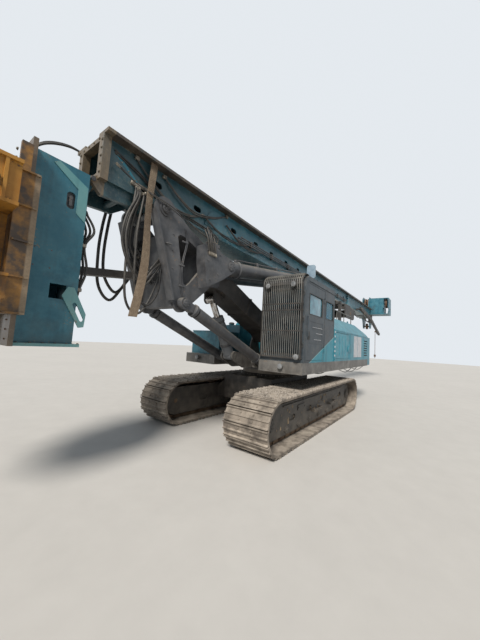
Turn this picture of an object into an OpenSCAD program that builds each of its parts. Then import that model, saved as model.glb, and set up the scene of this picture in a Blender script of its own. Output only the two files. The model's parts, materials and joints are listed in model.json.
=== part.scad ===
// Rotary piling rig on tracks, with its mast laid back over the machine
// and the mast's foot hanging down in front. X points forward, Y to the
// machine's left and Z up. Sizes are in millimetres, and the pieces are
// drawn around the slewing axis, then moved so that the origin lies on the
// ground below the middle of the whole machine.

/* [Tracks] */
// Distance between a track's two wheel centres
track_base = 4260; // [4000:10:4500]
// Height of a track over its lugs
track_h = 880; // [840:10:920]
// Width of the track shoes
shoe_w = 800; // [600:10:840]
// Distance between the middles of the two tracks
track_gauge = 2200; // [2150:10:2260]
// Number of shoes on each track
shoe_count = 50; // [46:1:54]
// Height of a shoe's ribs
lug_h = 26; // [16:1:34]
// Thickness of the shoe plates
shoe_t = 22; // [16:1:30]
// Depth of the track chain under the shoes
chain_t = 80; // [60:2:95]
// Width of the track chain
chain_w = 220; // [180:5:260]
// Width of a track's side frame
side_frame_w = 380; // [340:10:420]
// Height of a track's side plates
side_plate_h = 536; // [500:4:552]
// Thickness of a track's side plates
side_plate_t = 25; // [16:1:30]
// Radius of the lower rollers
roller_r = 105; // [90:1:120]
// Number of lower rollers on each track
roller_count = 7; // [5:1:8]

/* [Superstructure] */
// Overall width of the superstructure
body_w = 2960; // [2900:10:2970]
// Height of the deck's lower edge over the ground
deck_z = 1180; // [1150:5:1230]
// Depth of the deck's edge
deck_h = 210; // [180:5:240]
// Front end of the deck, from the slewing axis
deck_front = 1410; // [1390:5:1460]
// Rear end of the deck, from the slewing axis
deck_rear = -4020; // [-4100:10:-3950]
// Depth of the counterweight behind the deck
counterweight_d = 700; // [600:10:760]
// Height of the counterweight
counterweight_h = 930; // [880:10:980]
// Height of the engine house's shoulder over the ground
shoulder_z = 2130; // [2080:10:2200]
// Height of the engine house's roof over the ground
roof_z = 2480; // [2440:10:2520]
// Thickness of the engine house's panels
panel_t = 30; // [20:1:40]

/* [Cab] */
// Width of the cab
cab_w = 900; // [860:10:930]
// Length of the cab
cab_l = 1680; // [1600:10:1720]
// Front face of the cab, from the slewing axis
cab_front = 1380; // [1360:5:1390]
// Top of the cab over the ground
cab_z = 3000; // [2960:10:3040]
// Thickness of the cab's walls and door
cab_t = 46; // [36:1:56]
// Number of upright bars in the cab's front guard
guard_bars = 20; // [14:1:24]

/* [Boom] */
// Boom's root pin, forward of the slewing axis
boom_root_x = 309; // [290:1:330]
// Boom's root pin over the ground
boom_root_z = 1841; // [1820:1:1860]
// Length of the boom and of its parallel links between their pins
boom_l = 2342; // [2320:1:2360]
// Boom's slope over the horizontal
boom_slope = 22.07; // [21:0.01:23]
// Width of the boom's beam
boom_w = 480; // [440:10:490]
// Depth of the boom's beam over the line of its pins
boom_depth = 330; // [280:5:350]
// Radius of the parallel links
link_r = 90; // [70:1:92]

/* [Mast] */
// Mast's tilting pin, forward of the slewing axis
tilt_x = 3720; // [3700:5:3740]
// Mast's tilting pin over the ground
tilt_z = 3440; // [3430:5:3450]
// Width of the mast's box
mast_w = 540; // [500:10:560]
// Depth of the mast's box
mast_d = 520; // [480:10:560]
// Width over the mast's guide rails
rail_w = 800; // [780:5:820]
// Thickness of the guide rails
rail_t = 40; // [30:1:50]
// Wall thickness of the mast's box
mast_t = 20; // [14:1:28]
// Front end of the mast, from the slewing axis
mast_front = 4560; // [4550:1:4570]
// Joint between the mast's two lengths, from the slewing axis
mast_splice = -5900; // [-6000:10:-5800]
// Rear end of the mast's box, from the slewing axis
mast_rear = -10800; // [-11000:10:-10500]
// Length of the mast's foot
foot_l = 1915; // [1850:5:1960]

/* [Rotary] */
// Distance of the drilling axis in front of the foot's rails
rotary_reach = 710; // [690:5:740]
// Lower edge of the rotary's flange over the ground
rotary_z = 1700; // [1690:5:1720]
// Bore through the rotary's drive
drive_bore = 420; // [380:5:460]
// Length of the drive's stub under its flange
drive_stub = 130; // [100:5:140]

/* [Hidden] */
$fn = 48;

run_gap = 5;      // between pieces that pass each other
seat_gap = 0.3;   // between a wheel and what it runs on
pin_gap = 0.4;    // around a pin in its bore
knuckle_r = 9;    // hinge knuckles of the doors

// Tracks
track_mid_z = track_h / 2;
loop_r = track_h / 2 - lug_h - shoe_t;
band_t = 14;                              // shared base of the shoe plates
chain_r = loop_r - band_t - chain_t;      // inside of the chain
loop_steps = 24;                          // facets on half a turn of the chain
wheel_r = chain_r * cos(90 / loop_steps) - seat_gap;
axle_r = 45;                              // wheels' axles
roller_z = track_mid_z - chain_r + roller_r + seat_gap;
roller_span = 3100;                       // from the first lower roller to the last
frame_half_l = track_base / 2 - 330;
plate_in = side_frame_w / 2 - side_plate_t;
// hand holes in a track's side plates: place along it, height over its middle
hand_holes = [[1330, -20], [550, 20], [-1500, 60]];
top_roller_r = 46;
frame_low_z = roller_z + roller_r + 12;
frame_top_z = track_mid_z + 190;

// Superstructure
deck_top = deck_z + deck_h;
half_w = body_w / 2;
ring_r = 640;
ring_low_z = 1020;
ring_split_z = 1100;
recess_x = 980;                           // rear of the deck's front recess
house_front = cab_front - cab_l - 60;
roof_half = half_w - 300;
cab_in = half_w - cab_w;                  // inner side of the cab
cab_rear = cab_front - cab_l;
door_rear = cab_rear + 660;
door_front = cab_front - 90;
door_low = deck_top + 40;
door_top = cab_z - 130;
pane_low = cab_z - 710;                   // upper side windows
pane_top = cab_z - 310;
glass_t = 8;
guard_x = cab_front + 46;
guard_top = cab_z - 150;
guard_y0 = cab_in + 40;
guard_y1 = half_w - 40;
guard_rails = [70, 560, 940, 1060];       // crossbars' heights over the deck
hood_r = 190;
bar_r = 9;
rail_half = 12;                           // half depth of the guard's rails
lamp_pad = 14;                            // half depth of the lamps' pads
house_door_x = house_front - 90;
house_door_l = 1200;
louvre = [500, 36, 76];                   // length, height and pitch of the louvres
louvre_x = deck_rear + 90;
grille_x = -3500;
winch_x = -2600;
winch_z = roof_z + 350;
winch_drum_r = 200;
rest_x = -4450;                           // post that carries the laid mast
rest_y = 400;
// lamps: place along, across and over the ground
lamps = [[guard_x + lamp_pad, half_w - 190, cab_z - 190], [guard_x + lamp_pad, cab_in + 180, cab_z - 190],
    [guard_x + lamp_pad, half_w - 90, deck_top + 110], [deck_front, 1070, deck_z + 125],
    [deck_front, -1070, deck_z + 125]];

// Boom and support
boom_root = [boom_root_x, boom_root_z];
boom_head = [boom_root_x + boom_l * cos(boom_slope), boom_root_z + boom_l * sin(boom_slope)];
root_pin_r = 55;
head_pin_r = 50;
cheek_y0 = 372;
cheek_y1 = 422;
inner_y0 = boom_w / 2 + 10;               // plates that hold the boom's head
inner_y1 = inner_y0 + 34;
link_eye = [3330, 2200];
link_root = link_eye - (boom_head - boom_root);
link_y = 478;
link_eye_w = 100;
link_pin_r = 40;
beam_y0 = 290;                            // long beams of the deck
beam_y1 = 372;
lift_root = [1620, 1420];
lift_eye_at = [2018, -150];               // on the boom: along it, and under the line of its pins
lift_eye = boom_root + [lift_eye_at[0] * cos(boom_slope) - lift_eye_at[1] * sin(boom_slope),
    lift_eye_at[0] * sin(boom_slope) + lift_eye_at[1] * cos(boom_slope)];
lift_l = norm(lift_eye - lift_root);
lift_slope = atan2(lift_eye[1] - lift_root[1], lift_eye[0] - lift_root[0]);
lift_r = 105;
lift_rod_r = 60;
lift_eye_w = 160;
tilt_pin_r = 50;
ram_root = [2450, 2950];
ram_eye = [-1300, 3530];
ram_y = 430;
ram_r = 140;
ram_rod_r = 70;
ram_pin_r = 60;
ram_l = norm(ram_eye - ram_root);
ram_slope = atan2(ram_eye[1] - ram_root[1], ram_root[0] - ram_eye[0]);
ram_barrel_l = 3300;
ram_box_y = ram_y + ram_r + 6;            // plate outside the cylinder's foot
ram_box_t = 24;
brace_pin = [3610, 2560];
brace_slope = 8.5;
brace_l = 1012;

// Mast
mast_low = tilt_z + tilt_pin_r + 2;
mast_high = mast_low + mast_d;
rail_high = mast_high + rail_t;
hinge_x = mast_front + 40;
hinge_z = tilt_z + 10;
foot_back = hinge_x + mast_low - hinge_z;
hinge_eye_r = foot_back - hinge_x - run_gap;
foot_eye_r = norm([hinge_x - mast_front, mast_low - hinge_z]) - run_gap;
foot_face = hinge_x + mast_high - hinge_z;
rail_face = hinge_x + rail_high - hinge_z;
foot_top = hinge_z + 5;
foot_low = foot_top - foot_l;
axis_x = rail_face + rotary_reach;
drive_r = 325;
drive_low = rotary_z - drive_stub;
drive_h = 1450 + drive_stub;
rope_z = hinge_z + axis_x - hinge_x;      // height of the drilling axis on the laid mast
head_rear = mast_rear - 1200;
arm_tip = head_rear - 440;                // rear end of the whole machine
top_low = mast_low + 60;                  // underside of the mast's upper length
sheave_r = 300;
sheave_x = mast_rear - 620;
side_sheave_r = 250;
side_sheave_y = 1000;
rear_sheave_at = [mast_rear - 590, mast_low - 380];
hook_pin = [head_rear + 100, mast_low - 654];
hook_y = 360;
hook_low = 1250;
// oval holes in the mast's sides, from the slewing axis
oval_holes = [3790, 3010, 2050, 1280, 600, -150, -880, -1600, -2350, -3100, -3850, -4600, -5350];
oval_z = mast_low + 310;
cover_r = 330;                            // half round covers on the mast's sides
cover_x = 2500;
drum_x = mast_splice + 50;                // winch under the mast
drum_z = mast_low - 310;

front_end = axis_x + 560;
centre_x = (front_end + arm_tip) / 2;

module at_origin() translate([-centre_x, 0, 0]) children();
module box(low, high) translate(low) cube(high - low);
module both_sides() { children(); mirror([0, 1, 0]) children(); }
// Side view outline in X and Z, between two places across the machine
module plate(y0, y1) translate([0, y1, 0]) rotate([90, 0, 0]) linear_extrude(y1 - y0) children();
module across(x, z, r, y0, y1) translate([x, y0, z]) rotate([-90, 0, 0]) cylinder(r = r, h = y1 - y0);
// Outlines of a slot with round ends, and of a rectangle with round corners
module slot2d(l, r) {
    square([l, 2 * r], center = true);
    for (side = [-1, 1]) translate([side * l / 2, 0]) circle(r);
}
module rounded_rect(w, h, r) {
    translate([r, 0]) square([w - 2 * r, h]);
    translate([0, r]) square([w, h - 2 * r]);
    for (x = [r, w - r], y = [r, h - r]) translate([x, y]) circle(r);
}

// Point on a track's loop: a length along it, and a height over its base line
function loop_at(s, h) =
    let (turn = PI * loop_r, r = loop_r + h, half = track_base / 2)
    s < track_base ? [s - half, r]
    : s < track_base + turn ? let (a = 90 - (s - track_base) / turn * 180)
        [half + r * cos(a), r * sin(a)]
    : s < 2 * track_base + turn ? [half - (s - track_base - turn), -r]
    : let (a = -90 - (s - 2 * track_base - turn) / turn * 180) [-half + r * cos(a), r * sin(a)];
loop_l = 2 * track_base + 2 * PI * loop_r;
// A shoe's profile: share of the pitch, share of the plate, share of the rib
shoe_profile = [[0.03, 0, 0], [0.03, 1, 1], [0.10, 1, 1], [0.15, 1, 0], [0.43, 1, 0], [0.47, 1, 0.8],
    [0.53, 1, 0.8], [0.57, 1, 0], [0.84, 1, 0], [0.88, 1, 1], [0.95, 1, 1], [0.95, 0, 0]];
shoe_outline = [for (i = [0 : shoe_count - 1], p = shoe_profile)
    loop_at((i + p[0]) * loop_l / shoe_count, p[1] * shoe_t + p[2] * lug_h)];
function stadium_points(r, n = loop_steps) = concat(
    [for (i = [0 : n]) [track_base / 2 + r * sin(i * 180 / n), r * cos(i * 180 / n)]],
    [for (i = [0 : n]) [-track_base / 2 - r * sin(i * 180 / n), -r * cos(i * 180 / n)]]);

module track(y) color("dimgray") translate([0, y, track_mid_z]) {
    plate(-shoe_w / 2, shoe_w / 2) difference() {
        polygon(shoe_outline);
        polygon(stadium_points(loop_r - band_t));
    }
    plate(-chain_w / 2, chain_w / 2) difference() {
        polygon(stadium_points(loop_r - band_t));
        polygon(stadium_points(chain_r));
    }
}
module track_left() track(track_gauge / 2);
module track_right() track(-track_gauge / 2);

module track_frames() color("darkslategray") both_sides() translate([0, track_gauge / 2, 0]) {
    // beam between the two side plates
    plate(-plate_in - 1, plate_in + 1) polygon([[-frame_half_l, frame_low_z],
        [frame_half_l, frame_low_z], [frame_half_l, frame_top_z - 90],
        [frame_half_l - 160, frame_top_z], [160 - frame_half_l, frame_top_z],
        [-frame_half_l, frame_top_z - 90]]);
    // side plates that hold the wheels' axles and the rollers
    for (side = [-1, 1]) translate([0, side * (plate_in + side_plate_t / 2), track_mid_z])
        plate(-side_plate_t / 2, side_plate_t / 2) difference() {
            slot2d(track_base, side_plate_h / 2);
            for (end = [-1, 1]) translate([end * track_base / 2, 0]) circle(axle_r);
            for (h = hand_holes) translate(h) slot2d(160, 50);
        }
    // bearing caps outside, and a rib along the plate
    for (end = [-1, 1]) translate([end * track_base / 2, side_frame_w / 2 - 1, track_mid_z]) rotate([-90, 0, 0]) {
        cylinder(r = 120, h = 21);
        cylinder(r = 70, h = 36);
    }
    box([-1700, side_frame_w / 2 - 1, track_mid_z + side_plate_h / 2 - 60],
        [1700, side_frame_w / 2 + 24, track_mid_z + side_plate_h / 2 - 36]);
}

// A tooth's profile: share of the pitch, share of the tooth's depth
tooth_profile = [[0, 0], [0.28, 0], [0.42, 1], [0.58, 1], [0.72, 0]];
module toothed_wheel(r, n, depth, w) linear_extrude(w, center = true) polygon([for (i = [0 : n - 1], p = tooth_profile)
    let (a = (i + p[0]) * 360 / n, q = r - depth * (1 - p[1])) [q * cos(a), q * sin(a)]]);
module sprockets() color("saddlebrown") both_sides() translate([-track_base / 2, track_gauge / 2, track_mid_z])
    rotate([90, 0, 0]) {
        toothed_wheel(wheel_r, 19, 42, 68);
        cylinder(r = axle_r - pin_gap, h = side_frame_w - 6, center = true);
        cylinder(r = 150, h = 2 * plate_in - 40, center = true);
    }
module idler_wheels() color("saddlebrown") both_sides() translate([track_base / 2, track_gauge / 2, track_mid_z])
    rotate([90, 0, 0]) {
        cylinder(r = wheel_r, h = 90, center = true);
        cylinder(r = wheel_r - 40, h = 180, center = true);
        cylinder(r = axle_r - pin_gap, h = side_frame_w - 6, center = true);
        cylinder(r = 90, h = 2 * plate_in - 40, center = true);
    }
module track_rollers() color("gray") both_sides() translate([0, track_gauge / 2, 0]) {
    for (i = [0 : roller_count - 1]) translate([(i / (roller_count - 1) - 0.5) * roller_span, 0, roller_z])
        rotate([90, 0, 0]) {
            cylinder(r = roller_r, h = chain_w - 60, center = true);
            cylinder(r = 30, h = 2 * plate_in, center = true);
        }
    for (x = [-850, 850]) translate([x, 0, frame_top_z]) {
        box([-40, -30, 0], [40, 30, 60]);
        translate([0, 0, track_mid_z + chain_r - frame_top_z - top_roller_r - seat_gap]) rotate([90, 0, 0])
            cylinder(r = top_roller_r, h = chain_w - 60, center = true);
    }
}
module travel_drives() color("dimgray") both_sides()
    translate([-track_base / 2, track_gauge / 2 - side_frame_w / 2, track_mid_z]) rotate([90, 0, 0]) {
        cylinder(r = 190, h = 120);
        cylinder(r = 165, h = 170);
        cylinder(r = 120, h = 320);
    }

module car_body() color("darkslategray") {
    box([-950, -620, 430], [950, 620, 960]);
    for (x = [-700, 700]) both_sides() translate([x, 0, 0]) rotate([90, 0, 90]) linear_extrude(320, center = true)
        polygon([[600, 440], [600, 900], [track_gauge / 2 - side_frame_w / 2, frame_top_z],
            [track_gauge / 2 - side_frame_w / 2, frame_low_z + 20]]);
    translate([0, 0, 960]) cylinder(r1 = ring_r + 60, r2 = ring_r + 20, h = ring_low_z - 960, $fn = 64);
}
module slew_ring() color("gray") translate([0, 0, ring_low_z]) difference() {
    cylinder(r = ring_r, h = ring_split_z - ring_low_z - seat_gap, $fn = 72);
    translate([0, 0, -1]) cylinder(r = ring_r - 150, h = ring_split_z, $fn = 72);
}

module deck_plan(inset) polygon([[deck_rear + inset, inset - half_w], [deck_front - inset, inset - half_w],
    [deck_front - inset, -cab_in - inset], [recess_x - inset, -cab_in - inset],
    [recess_x - inset, cab_in + inset], [deck_front - inset, cab_in + inset],
    [deck_front - inset, half_w - inset], [deck_rear + inset, half_w - inset]]);
module upper_frame() color("lightslategray") {
    translate([0, 0, deck_z]) difference() {
        linear_extrude(deck_h) deck_plan(0);
        translate([0, 0, -1]) linear_extrude(deck_h - 24) deck_plan(30);
    }
    // long beams with the parallel links' root pins
    both_sides() {
        plate(beam_y0, beam_y1) union() {
            polygon([[deck_rear + 20, deck_z], [recess_x, deck_z], [link_root[0], link_root[1] - 88],
                [link_root[0], link_root[1] + 88], [recess_x, deck_top - 10], [deck_rear + 20, deck_top - 20]]);
            translate(link_root) circle(88);
        }
        across(link_root[0], link_root[1], link_pin_r, beam_y1 - 1, link_y + link_eye_w / 2 + 10);
    }
    translate([0, 0, ring_split_z]) difference() {
        cylinder(r = ring_r, h = deck_z - ring_split_z + 60, $fn = 72);
        translate([0, 0, -1]) cylinder(r = ring_r - 150, h = 200, $fn = 72);
    }
    // tower with the boom's root pin
    both_sides() plate(inner_y0, inner_y1) union() {
        polygon([[boom_root_x - 260, deck_top - 1], [boom_root_x + 260, deck_top - 1],
            [boom_root_x + 112, boom_root_z], [boom_root_x - 112, boom_root_z]]);
        translate(boom_root) circle(112);
    }
    across(boom_root_x, boom_root_z, root_pin_r, -inner_y1 - 8, inner_y1 + 8);
    // nose with the lifting cylinder's root pin
    both_sides() plate(lift_eye_w / 2 + 32, lift_eye_w / 2 + 75) union() {
        polygon([[recess_x - 60, deck_z + 1], [1330, deck_z + 1], [lift_root[0] + 20, lift_root[1] - 92],
            [lift_root[0], lift_root[1] + 95], [1400, lift_root[1] + 60], [1100, deck_top - 2],
            [recess_x - 60, deck_top - 2]]);
        translate(lift_root) circle(95);
    }
    box([recess_x - 40, -lift_eye_w / 2 - 60, deck_z], [recess_x + 120, lift_eye_w / 2 + 60, deck_top - 2]);
    across(lift_root[0], lift_root[1], link_pin_r, -lift_eye_w / 2 - 85, lift_eye_w / 2 + 85);
}

module counterweight() color("teal") translate([deck_rear - counterweight_d, 0, deck_z + 10]) difference() {
    linear_extrude(counterweight_h) intersection() {
        translate([0, -half_w + 20]) rounded_rect(counterweight_d * 2, body_w - 40, 300);
        translate([0, -half_w]) square([counterweight_d, body_w]);
    }
    for (y = [-700, 700]) translate([-1, y - 150, -1]) cube([120, 300, 130]);
    // sloping rear edge of the top
    translate([0, half_w, counterweight_h]) rotate([90, 0, 0]) linear_extrude(body_w)
        polygon([[-1, -130], [170, 1], [-1, 1]]);
}

// Cross section of the engine house, with sloping shoulders
module house_section(inset) polygon([[inset - half_w, deck_top + (inset > 0 ? -1 : 0)],
    [half_w - inset, deck_top + (inset > 0 ? -1 : 0)], [half_w - inset, shoulder_z - inset * 0.4],
    [roof_half - inset * 0.4, roof_z - inset], [inset * 0.4 - roof_half, roof_z - inset],
    [inset - half_w, shoulder_z - inset * 0.4]]);
// Its side view, lower at the rear
module house_side(inset) polygon([[deck_rear + inset, deck_top - 2], [house_front - inset, deck_top - 2],
    [house_front - inset, roof_z + 2 - inset], [deck_rear + 600 - inset * 0.4, roof_z + 2 - inset],
    [deck_rear + inset, shoulder_z + 100 - inset]]);
module house_body(inset) intersection() {
    translate([deck_rear, 0, 0]) rotate([90, 0, 90]) linear_extrude(house_front - deck_rear) house_section(inset);
    plate(-half_w - 1, half_w + 1) house_side(inset);
}
module engine_house() color("teal") {
    difference() {
        house_body(0);
        house_body(panel_t);
        box([house_door_x - house_door_l, half_w - panel_t - 5, deck_top + 60],
            [house_door_x, half_w + 5, shoulder_z - 60]);
        // louvres at the rear of the left side, and in the right side
        for (i = [0 : 6]) box([louvre_x, half_w - panel_t - 5, deck_top + 110 + i * louvre[2]],
            [louvre_x + louvre[0], half_w + 5, deck_top + 110 + i * louvre[2] + louvre[1]]);
        for (i = [0 : 6]) box([grille_x, -half_w - 5, deck_top + 110 + i * louvre[2]],
            [grille_x + 2 * louvre[0], -half_w + panel_t + 5, deck_top + 110 + i * louvre[2] + louvre[1]]);
        translate([-1200, -900, roof_z - panel_t - 5]) cylinder(r = 75, h = 60);
    }
    // lifting eyes on the roof
    for (x = [-1000, -3000]) both_sides() translate([x, roof_half - 120, 0]) plate(0, 20)
        translate([0, roof_z - 1]) difference() {
            translate([-50, 0]) rounded_rect(100, 90, 30);
            translate([0, 52]) circle(18);
        }
}
module house_door() color("teal") {
    box([house_door_x - house_door_l + 6, half_w - panel_t, deck_top + 66],
        [house_door_x - 6, half_w, shoulder_z - 66]);
    for (z = [deck_top + 140, shoulder_z - 180]) translate([house_door_x + 2, half_w + knuckle_r, z]) {
        cylinder(r = knuckle_r, h = 50);
        box([-70, 0.5 - knuckle_r, 0], [0, -2, 50]);
        box([-70, -knuckle_r - 1, 0], [-20, -2, 50]);
    }
    // latch
    translate([house_door_x - house_door_l + 90, half_w - 1, (deck_top + shoulder_z) / 2])
        rotate([-90, 0, 0]) cylinder(r = 26, h = 15);
}
module engine_block() color("gray") box([-3300, -330, deck_top], [-2100, 330, deck_top + 560]);
module exhaust_stack() color("gray") translate([-1200, -900, deck_top]) difference() {
    union() {
        cylinder(r = 60, h = roof_z + 260 - deck_top);
        translate([0, 0, 40]) cylinder(r = 150, h = 560);
        box([-150, -200, 0], [150, 200, 41]);
    }
    translate([0, 0, 700]) cylinder(r = 50, h = 1000);
}
module side_tank() color("teal") {
    difference() {
        translate([house_front + 6, -half_w, deck_top]) cube([560 - house_front - 6, half_w - 560, shoulder_z - deck_top]);
        // step hollow in the outer side
        box([200, -half_w - 1, deck_top + 90], [480, -half_w + 160, deck_top + 330]);
    }
    translate([340, -1000, shoulder_z - 1]) cylinder(r = 70, h = 50);
    box([600, -half_w + 20, deck_top], [1260, -600, deck_top + 520]);
    box([590, -half_w + 14, deck_top + 520], [1270, -594, deck_top + 545]);
}
module side_mirror() color("black") {
    translate([900, half_w - 180, cab_z + 30]) rotate([90, 0, 90]) linear_extrude(30) rounded_rect(170, 270, 40);
    translate([915, half_w - 95, cab_z]) cylinder(r = 12, h = 40);
}
module work_lamps() color("white") for (at = lamps) translate(at) rotate([0, 90, 0]) {
    cylinder(r = 42, h = 46);
    translate([0, 0, 46]) cylinder(r = 52, h = 18);
}

module cab_outline(inset) polygon([[cab_rear + inset, deck_top + inset], [cab_front - inset, deck_top + inset],
    [cab_front - inset, cab_z - 220], [cab_front - 60 - inset, cab_z - 60 - inset],
    [cab_front - 160, cab_z - inset], [cab_rear + inset, cab_z - inset]]);
module cab_shell() color("lightslategray") {
    difference() {
        plate(cab_in, half_w) cab_outline(0);
        plate(cab_in + cab_t, half_w - cab_t) cab_outline(cab_t);
        // door opening
        box([door_rear, half_w - cab_t - 5, door_low], [door_front, half_w + 5, door_top]);
        // rear side window, inner side window, rear window and front window
        box([cab_rear + 60, half_w - cab_t - 5, pane_low], [door_rear - 90, half_w + 5, pane_top]);
        box([cab_rear + 200, cab_in - 5, 2000], [cab_front - 240, cab_in + cab_t + 5, cab_z - 160]);
        box([cab_rear - 5, cab_in + 120, 2250], [cab_rear + cab_t + 5, half_w - 120, cab_z - 160]);
        box([cab_front - cab_t - 5, cab_in + 70, deck_top + 130], [cab_front + 5, half_w - 70, cab_z - 240]);
        // hatch in the roof
        box([cab_rear + 500, cab_in + 200, cab_z - cab_t - 5], [cab_rear + 1000, half_w - 200, cab_z + 5]);
    }
    // door's hinge pieces on the post
    for (z = [door_low + 160, door_top - 260]) translate([door_rear - 8, half_w + knuckle_r, z + 70 + seat_gap]) {
        cylinder(r = knuckle_r, h = 40);
        box([-60, -knuckle_r - 1, 0], [0, -2, 40]);
    }
}
module cab_windows() color("lightsteelblue") {
    box([cab_rear + 60, half_w - cab_t / 2, pane_low], [door_rear - 90, half_w - cab_t / 2 + glass_t, pane_top]);
    box([cab_rear + 200, cab_in + 20, 2000], [cab_front - 240, cab_in + 20 + glass_t, cab_z - 160]);
    box([cab_rear + 20, cab_in + 120, 2250], [cab_rear + 20 + glass_t, half_w - 120, cab_z - 160]);
    box([cab_front - 30, cab_in + 70, deck_top + 130], [cab_front - 30 + glass_t, half_w - 70, cab_z - 240]);
    box([cab_rear + 500, cab_in + 200, cab_z - 30], [cab_rear + 1000, half_w - 200, cab_z - 30 + glass_t]);
}
module cab_guard() color("darkslategray") {
    bar_pitch = (guard_y1 - guard_y0 - 40) / (guard_bars - 1);
    for (i = [0 : guard_bars - 1]) translate([guard_x, guard_y0 + 20 + i * bar_pitch, deck_top + guard_rails[0] + 5])
        cylinder(r = bar_r, h = guard_top - 15 - deck_top - guard_rails[0], $fn = 16);
    for (rail = guard_rails) {
        box([guard_x - rail_half, guard_y0 - 1, deck_top + rail], [guard_x + rail_half, guard_y1 + 1, deck_top + rail + 22]);
        for (y = [guard_y0, guard_y1 - 60])
            box([cab_front, y, deck_top + rail + 2], [guard_x - 5, y + 14, deck_top + rail + 20]);
    }
    // side plates and top rail of the cage
    for (y = [guard_y0 - 8, guard_y1])
        box([cab_front + 8, y, deck_top + 60], [guard_x + rail_half, y + 8, guard_top]);
    box([guard_x - rail_half, guard_y0 - 1, guard_top - 30], [guard_x + rail_half, guard_y1 + 1, guard_top]);
    // curved hood with a slot between each two bars, and its ledge on the roof
    difference() {
        translate([guard_x + 5 - hood_r, 0, guard_top]) plate(guard_y0 - 8, guard_y1 + 8) {
            intersection() {
                difference() {
                    circle(hood_r);
                    circle(hood_r - 10);
                }
                translate([0, -1]) square(hood_r + 1);
            }
            translate([-100, hood_r - 10]) square([101, 10]);
        }
        for (i = [0 : guard_bars - 2]) translate([guard_x - 110, guard_y0 + 20 + (i + 0.25) * bar_pitch, guard_top + 40])
            cube([130, bar_pitch / 2, 110]);
    }
    for (y = [guard_y0, guard_y1 - 20])
        box([guard_x - hood_r - 80, y, cab_z], [guard_x - hood_r - 20, y + 20, guard_top + hood_r - 9]);
    // pads behind the lamps
    for (at = lamps) if (at[0] > deck_front)
        box([guard_x - lamp_pad, at[1] - 50, at[2] - 30], [at[0], at[1] + 50, at[2] + 30]);
}
module operator_seat() color("black") translate([cab_rear + 480, (cab_in + half_w) / 2, 0]) {
    box([-230, -240, deck_top + cab_t], [250, 240, deck_top + 420]);
    box([-260, -240, deck_top + 420], [280, 240, deck_top + 540]);
    translate([-250, 0, deck_top + 541]) rotate([0, -8, 0]) box([-100, -230, 0], [20, 230, 640]);
}
module cab_door() color("lightslategray") {
    difference() {
        box([door_rear + 6, half_w - cab_t, door_low + 6], [door_front - 6, half_w, door_top - 6]);
        box([door_rear + 110, half_w - cab_t - 5, pane_low], [door_front - 110, half_w + 5, pane_top]);
    }
    box([door_rear + 110, half_w - cab_t / 2, pane_low], [door_front - 110, half_w - cab_t / 2 + glass_t, pane_top]);
    for (z = [door_low + 160, door_top - 260]) translate([door_rear - 8, half_w + knuckle_r, z]) {
        cylinder(r = knuckle_r, h = 70);
        box([0, 0.5 - knuckle_r, 0], [70, -2, 70]);
        box([20, -knuckle_r - 1, 0], [70, -2, 70]);
    }
    // grab bar and handle
    translate([door_front - 60, half_w + 12, pane_low - 420]) cylinder(r = 7, h = 380);
    for (z = [pane_low - 420, pane_low - 60]) box([door_front - 67, half_w - 1, z], [door_front - 53, half_w + 13, z + 14]);
}

module winch_frame() color("darkslategray") {
    both_sides() plate(300, 340) difference() {
        polygon([[winch_x - 400, roof_z], [winch_x + 400, roof_z], [winch_x + 250, winch_z + 370], [winch_x - 250, winch_z + 370]]);
        translate([winch_x, winch_z]) circle(50 + pin_gap);
    }
    box([winch_x - 400, -340, roof_z], [winch_x + 400, 340, roof_z + 40]);
    box([winch_x - 240, -345, winch_z + 370], [winch_x + 240, 345, winch_z + 400]);
}
// Drum with two flanges on its axle
module drum(x, z, r, half_l, axle) {
    across(x, z, r, -half_l, half_l);
    for (y = [-half_l - 8, half_l - 12]) across(x, z, r * 1.4, y, y + 20);
    across(x, z, 50, -axle, axle);
}
module winch_drum() color("saddlebrown") drum(winch_x, winch_z, winch_drum_r, 280, 345);
// Two posts on the counterweight that carry the laid mast
module mast_rest() color("darkslategray") {
    top = deck_z + 10 + counterweight_h;
    both_sides() box([rest_x - 50, rest_y - 50, top], [rest_x + 50, rest_y + 50, mast_low - 90]);
    both_sides() plate(rest_y - 12, rest_y + 12) polygon([[rest_x + 49, top], [rest_x + 49, top + 420],
        [rest_x + 220, top]]);
    box([rest_x - 70, -rest_y - 50, mast_low - 90], [rest_x + 70, rest_y + 50, mast_low - run_gap]);
}

module boom() color("darkslategray") translate([boom_root_x, 0, boom_root_z]) rotate([0, -boom_slope, 0]) {
    difference() {
        union() {
            // box beam with its root and head bosses
            difference() {
                plate(-boom_w / 2, boom_w / 2) union() {
                    polygon([[0, -105], [250, -20], [boom_l - 300, -20], [boom_l, -95], [boom_l + 60, 60],
                        [boom_l - 420, boom_depth], [260, boom_depth], [-60, 80]]);
                    circle(108);
                    translate([boom_l, 0]) circle(100);
                }
                plate(-boom_w / 2 + 24, boom_w / 2 - 24) polygon([[300, 4], [boom_l - 420, 4],
                    [boom_l - 440, boom_depth - 24], [320, boom_depth - 24]]);
            }
            // ribs across the underside, and ears beside the lifting cylinder's eye
            for (x = [520, 1180]) box([x, -boom_w / 2 - 14, -30], [x + 40, boom_w / 2 + 14, boom_depth + 14]);
            both_sides() plate(lift_eye_w / 2 + 20, lift_eye_w / 2 + 55) union() {
                translate(lift_eye_at) circle(78);
                polygon([[lift_eye_at[0] - 170, -10], [lift_eye_at[0] - 76, lift_eye_at[1] - 18],
                    [lift_eye_at[0] + 76, lift_eye_at[1] - 18], [lift_eye_at[0] + 150, -10]]);
            }
        }
        plate(-boom_w, boom_w) circle(root_pin_r + pin_gap);
        plate(-boom_w, boom_w) translate([boom_l, 0]) circle(head_pin_r + pin_gap);
    }
}
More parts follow.
